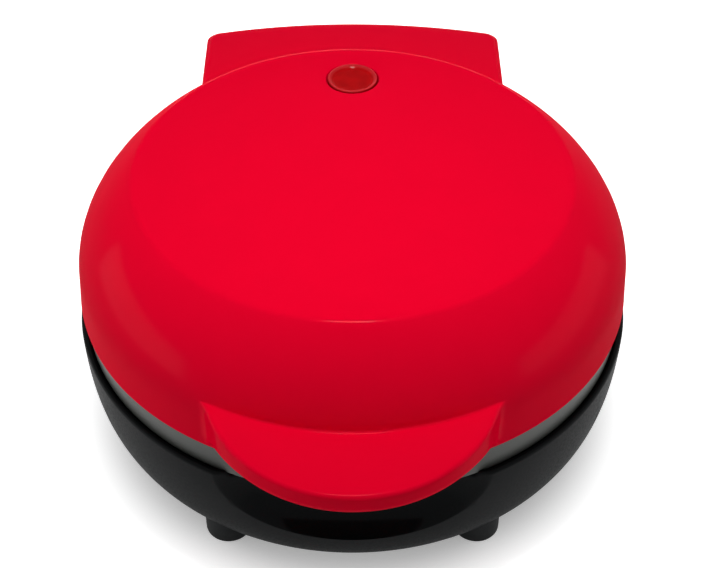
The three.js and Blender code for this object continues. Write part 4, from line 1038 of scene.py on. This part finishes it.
class GRIDDLE_OT_base(bpy.types.Operator):
    """Makes the base shell with its finger scoop, cord block and hinge barrel"""

    bl_idname = "griddle.base"
    bl_label = "Base shell"

    def execute(self, context):
        s = sizes(context)
        shell = piece("base_shell", mesh_from_grid(base_shell_rows(s)), "base", "base_housing", "black_housing")
        # The cord's way out at the back, and the screws' ways through the floor
        cutters = [at_cord_outlet(turned(rod(5.05, 60, 95), 64))]
        for name in ("lower_plate_screw_1", "lower_plate_screw_2", "lower_plate_screw_3"):
            x, y, radius = from_above(name)
            cutters.append(turned(rod(radius + 0.3, 2, 7), 48, (x, y)))
        cut_away(shell, joined(*cutters))
        add_bodies(shell, joined(hinge_neck(s), hinge_barrel(s)))
        return {"FINISHED"}


class GRIDDLE_OT_cord_ring(bpy.types.Operator):
    """Makes the ring that lines the cord's way out of the base"""

    bl_idname = "griddle.cord_ring"
    bl_label = "Cord outlet ring"

    def execute(self, context):
        front, back = cad("cord_gland", LOW, Y), cad("cord_gland", HIGH, Y)
        _, _, flange = from_above("cord_gland")
        bore, neck, lip = 3.2, 5.0, 1.5
        profile = [
            (bore, front + 0.3),
            (bore + 0.3, front),
            (flange - 0.4, front),
            (flange, front + 0.4),
            (flange, front + lip - 0.2),
            (neck, front + lip),
            (neck, back - lip),
            (flange, back - lip + 0.1),
            *arc(flange - 0.9, back - 0.9, 0.9, 0, 90, 8).tolist(),
            *arc(bore + 1.1, back - 1.1, 1.1, 90, 180, 10).tolist(),
        ]
        piece("cord_ring", at_cord_outlet(turned(profile, 72, closed=True)), "base", "cord_gland", "dark_nylon")
        return {"FINISHED"}


# Plates, lens, feet and small parts


def plate_profile(top_z, radius, depth, skirt, side):
    """A closed profile of a cooking plate; side is 1 for a plate that opens upwards and -1 for the other."""
    lip, flange, skirt_wall, edge = 63.5, 2.6, 1.8, 0.8
    # The back of the floor and the sloping wall up to the flange
    points = [(0, -3.0), (62.2, -3.0), (64.0, depth - flange)]
    if skirt:
        inside, low = radius - skirt_wall, depth - skirt
        points += [(inside, depth - flange), (inside, low), (radius - 0.3, low), (radius, low + 0.3)]
    else:
        points.append((radius, depth - flange))
    points += arc(radius - edge, depth - edge, edge, 0, 90, 6).tolist()
    points += arc(lip + 0.5, depth - 0.5, 0.5, 90, 170, 4).tolist()
    points += arc(lip - 4.0, 2.0, 2.0, -10, -90, 6).tolist()
    points += [(40, 0), (20, 0), (0, 0)]
    floor_z = top_z - side * depth
    return [(r, floor_z + side * z) for r, z in points]


class GRIDDLE_OT_plates(bpy.types.Operator):
    """Makes the two cooking plates"""

    bl_idname = "griddle.plates"
    bl_label = "Cooking plates"

    def execute(self, context):
        s = sizes(context)
        lower = plate_profile(cad("lower_griddle_plate", HIGH, Z), s.bowl_radius - s.rim_wall - 0.45, 6, 8.5, 1)
        piece("lower_plate", turned(lower, s.columns), "base", "lower_griddle_plate", "plate_coating")
        upper = plate_profile(cad("upper_griddle_plate", LOW, Z), cad("upper_griddle_plate", HIGH, X), 5, 0, -1)
        piece("upper_plate", turned(upper, s.columns), "lid", "upper_griddle_plate", "plate_coating")
        return {"FINISHED"}


class GRIDDLE_OT_lens(bpy.types.Operator):
    """Makes the indicator lens"""

    bl_idname = "griddle.lens"
    bl_label = "Indicator lens"

    def execute(self, context):
        s = sizes(context)
        radius, top, low = s.lens_radius, s.lid_top, cad("indicator_lens", LOW, Z)
        # A slightly hollow floor, a slope up from it and a round bead along the edge
        floor_radius, floor, bead = radius - 1.7, top - 1.0, 0.3
        flange, flange_height, hollow_top = 1.6, 1.4, top - 2.3
        profile = [
            *[(floor_radius * t, floor - 0.1 * (1 - t * t)) for t in np.linspace(0, 1, 8)[:-1]],
            *[(floor_radius + 1.15 * t, floor + 0.65 * smooth_step(0, 1, t)) for t in np.linspace(0, 1, 8)],
            *arc(radius - bead, top - 0.45, bead, 150, 0, 10).tolist(),
            (radius, low + flange_height),
            (radius + flange, low + flange_height),
            (radius + flange, low),
            (radius - flange, low),
            (radius - flange, hollow_top),
            (0, hollow_top),
        ]
        piece("lens", turned(profile, 96, (0, s.lens_y)), "lid", "indicator_lens", "lens_red")
        return {"FINISHED"}


class GRIDDLE_OT_feet(bpy.types.Operator):
    """Makes the four rubber feet"""

    bl_idname = "griddle.feet"
    bl_label = "Feet"

    def execute(self, context):
        outer = bowl_profile(sizes(context), 0)
        height, into_bowl = 3.5, 0.4
        for name in ("foot_front_left", "foot_front_right", "foot_rear_left", "foot_rear_right"):
            x, y, radius = from_above(name)
            sole = [(0, 0.25), (radius - 2.2, 0.25), (radius - 1.9, 0), *arc(radius - 1, 1, 1, -90, 0, 5).tolist()]
            bm = turned([*sole, (radius, height), (0, height)], 48, (x, y))
            for vertex in bm.verts:
                if vertex.co.z > (height - 0.1) * MM:
                    away = math.hypot(vertex.co.x, vertex.co.y) / MM
                    vertex.co.z = (np.interp(away, outer[:, 0], outer[:, 1]) + into_bowl) * MM
            piece(name.replace("foot", "rubber_foot"), bm, "base", name, "foot_rubber")
        return {"FINISHED"}


class GRIDDLE_OT_finishes(bpy.types.Operator):
    """Gives every CAD node that still shows its finish"""

    bl_idname = "griddle.finishes"
    bl_label = "Finishes of the inner parts"

    def execute(self, context):
        made = materials()
        slots = {part["node"]: part["material_slot"] for part in frame["record"]["subparts"]}
        for name, obj in frame["nodes"].items():
            obj.data.materials.clear()
            obj.data.materials.append(made[slots[name]])
        return {"FINISHED"}


# Stage


def area_lamp(name, place, target, size, watts):
    data = bpy.data.lights.new(name, "AREA")
    data.shape, data.size, data.size_y, data.energy = "RECTANGLE", size[0], size[1], watts
    lamp = bpy.data.objects.new(name, data)
    lamp.location = place
    lamp.rotation_euler = (Vector(target) - Vector(place)).to_track_quat("-Z", "Y").to_euler()
    bpy.context.scene.collection.objects.link(lamp)


def seen_directly(tree):
    """One for rays from the eye, from metal and through glass, and zero for plain light."""
    path = node(tree, "ShaderNodeLightPath")
    seen = path.outputs["Is Camera Ray"]
    for ray in ("Is Glossy Ray", "Is Transmission Ray"):
        seen = node(tree, "ShaderNodeMath", {"operation": "MAXIMUM"}, {0: seen, 1: path.outputs[ray]}).outputs[0]
    return seen


class GRIDDLE_OT_stage(bpy.types.Operator):
    """Sets up the floor, the light and the camera"""

    bl_idname = "griddle.stage"
    bl_label = "Stage"

    def execute(self, context):
        scene = context.scene
        scene.view_settings.view_transform = "Standard"

        camera = bpy.data.objects.new("camera", bpy.data.cameras.new("camera"))
        camera.data.sensor_width, camera.data.lens, camera.data.shift_x = 36, 70.59, 0.0077
        camera.location = (0, -0.2819, 0.2924)
        camera.rotation_euler = (Vector((0, 0, 0.0376)) - camera.location).to_track_quat("-Z", "Y").to_euler()
        camera.data.clip_start, camera.data.clip_end = 0.01, 20
        scene.collection.objects.link(camera)
        scene.camera = camera

        floor_mesh = bpy.data.meshes.new("floor")
        half = 3.0  # metres
        corners = [(-half, -half, 0), (half, -half, 0), (half, half, 0), (-half, half, 0)]
        floor_mesh.from_pydata(corners, [], [(0, 1, 2, 3)])
        floor = bpy.data.objects.new("floor", floor_mesh)
        scene.collection.objects.link(floor)
        paper = {"Roughness": 0.9, "Base Color": rgba(linear("#F6F6F6"))}
        material, tree, shader, place = finish("White paper sweep", paper)
        # The paper glows near white from 81 mm off the griddle's axis; nearer in the glow drops, a painted shadow
        # added to the real one, down to its full shade at 61 mm
        away = node(tree, "ShaderNodeVectorMath", {"operation": "LENGTH"}, {0: place})
        glow_less_for_painted_shadow = node(
            tree,
            "ShaderNodeMapRange",
            {"interpolation_type": "SMOOTHSTEP", "From Min": 0.061, "From Max": 0.081, "To Min": 0.31, "To Max": 0.95},
            {"Value": away.outputs["Value"]},
        )
        shown = {0: seen_directly(tree), 1: glow_less_for_painted_shadow.outputs["Result"]}
        share = node(tree, "ShaderNodeMath", {"operation": "MULTIPLY"}, shown)
        glow = node(tree, "ShaderNodeEmission", {"Color": (1, 1, 1, 1)}, {"Strength": share.outputs[0]})
        mixed = node(tree, "ShaderNodeAddShader", links={0: shader.outputs[0], 1: glow.outputs[0]})
        tree.links.new(mixed.outputs[0], tree.nodes["Material Output"].inputs["Surface"])
        floor_mesh.materials.append(material)

        world = bpy.data.worlds.new("studio")
        scene.world = world
        world.use_nodes = True
        tree = world.node_tree
        ambient = tree.nodes["Background"]
        ambient.inputs["Color"].default_value = (1, 1, 1, 1)
        place = node(tree, "ShaderNodeTexCoord")
        upward = node(tree, "ShaderNodeSeparateXYZ", links={0: place.outputs["Generated"]})
        # The sky's light is strongest round the horizon and weakest overhead
        dimmer_up = {"From Min": 0.0, "From Max": 0.8, "To Min": 0.34, "To Max": 0.1}
        sky = node(tree, "ShaderNodeMapRange", dimmer_up, {"Value": upward.outputs["Z"]})
        tree.links.new(sky.outputs["Result"], ambient.inputs["Strength"])
        white = node(tree, "ShaderNodeBackground", {"Color": (1, 1, 1, 1), "Strength": 1.0})
        sources = {0: seen_directly(tree), 1: ambient.outputs[0], 2: white.outputs[0]}
        mixed = node(tree, "ShaderNodeMixShader", links=sources)
        tree.links.new(mixed.outputs[0], tree.nodes["World Output"].inputs["Surface"])

        area_lamp("overhead", (0, -0.035, 0.31), (0, -0.02, 0.05), (0.05, 0.05), 0.48)
        area_lamp("card_left", (-0.5, -0.03, 0.07), (0, 0, 0.05), (0.5, 0.16), 0.8)
        area_lamp("card_right", (0.5, -0.03, 0.07), (0, 0, 0.05), (0.5, 0.16), 0.55)
        area_lamp("low_back", (0, 0.7, 0.13), (0, 0.05, 0.07), (0.6, 0.2), 2.8)
        return {"FINISHED"}


OPERATORS = (
    GRIDDLE_OT_stage,
    GRIDDLE_OT_lid,
    GRIDDLE_OT_base,
    GRIDDLE_OT_cord_ring,
    GRIDDLE_OT_plates,
    GRIDDLE_OT_lens,
    GRIDDLE_OT_feet,
    GRIDDLE_OT_finishes,
)


class GRIDDLE_PT_panel(bpy.types.Panel):
    """Lists the steps that build the griddle, and its sizes and colours"""

    bl_idname = "GRIDDLE_PT_panel"
    bl_label = "Mini griddle"
    bl_space_type = "VIEW_3D"
    bl_region_type = "UI"
    bl_category = "Griddle"

    def draw(self, context):
        layout = self.layout
        for operator in OPERATORS:
            layout.operator(operator.bl_idname)
        for group in (context.scene.griddle_sizes, context.scene.griddle_colours):
            for name in group.__annotations__:
                layout.prop(group, name)


CLASSES = (GriddleSizes, GriddleColours, *OPERATORS, GRIDDLE_PT_panel)


def register():
    for cls in CLASSES:
        bpy.utils.register_class(cls)
    bpy.types.Scene.griddle_sizes = PointerProperty(type=GriddleSizes)
    bpy.types.Scene.griddle_colours = PointerProperty(type=GriddleColours)


def unregister():
    del bpy.types.Scene.griddle_colours
    del bpy.types.Scene.griddle_sizes
    for cls in reversed(CLASSES):
        bpy.utils.unregister_class(cls)


def main():
    register()
    for operator in OPERATORS:
        group, name = operator.bl_idname.split(".")
        getattr(getattr(bpy.ops, group), name)()


if __name__ == "__main__":
    main()
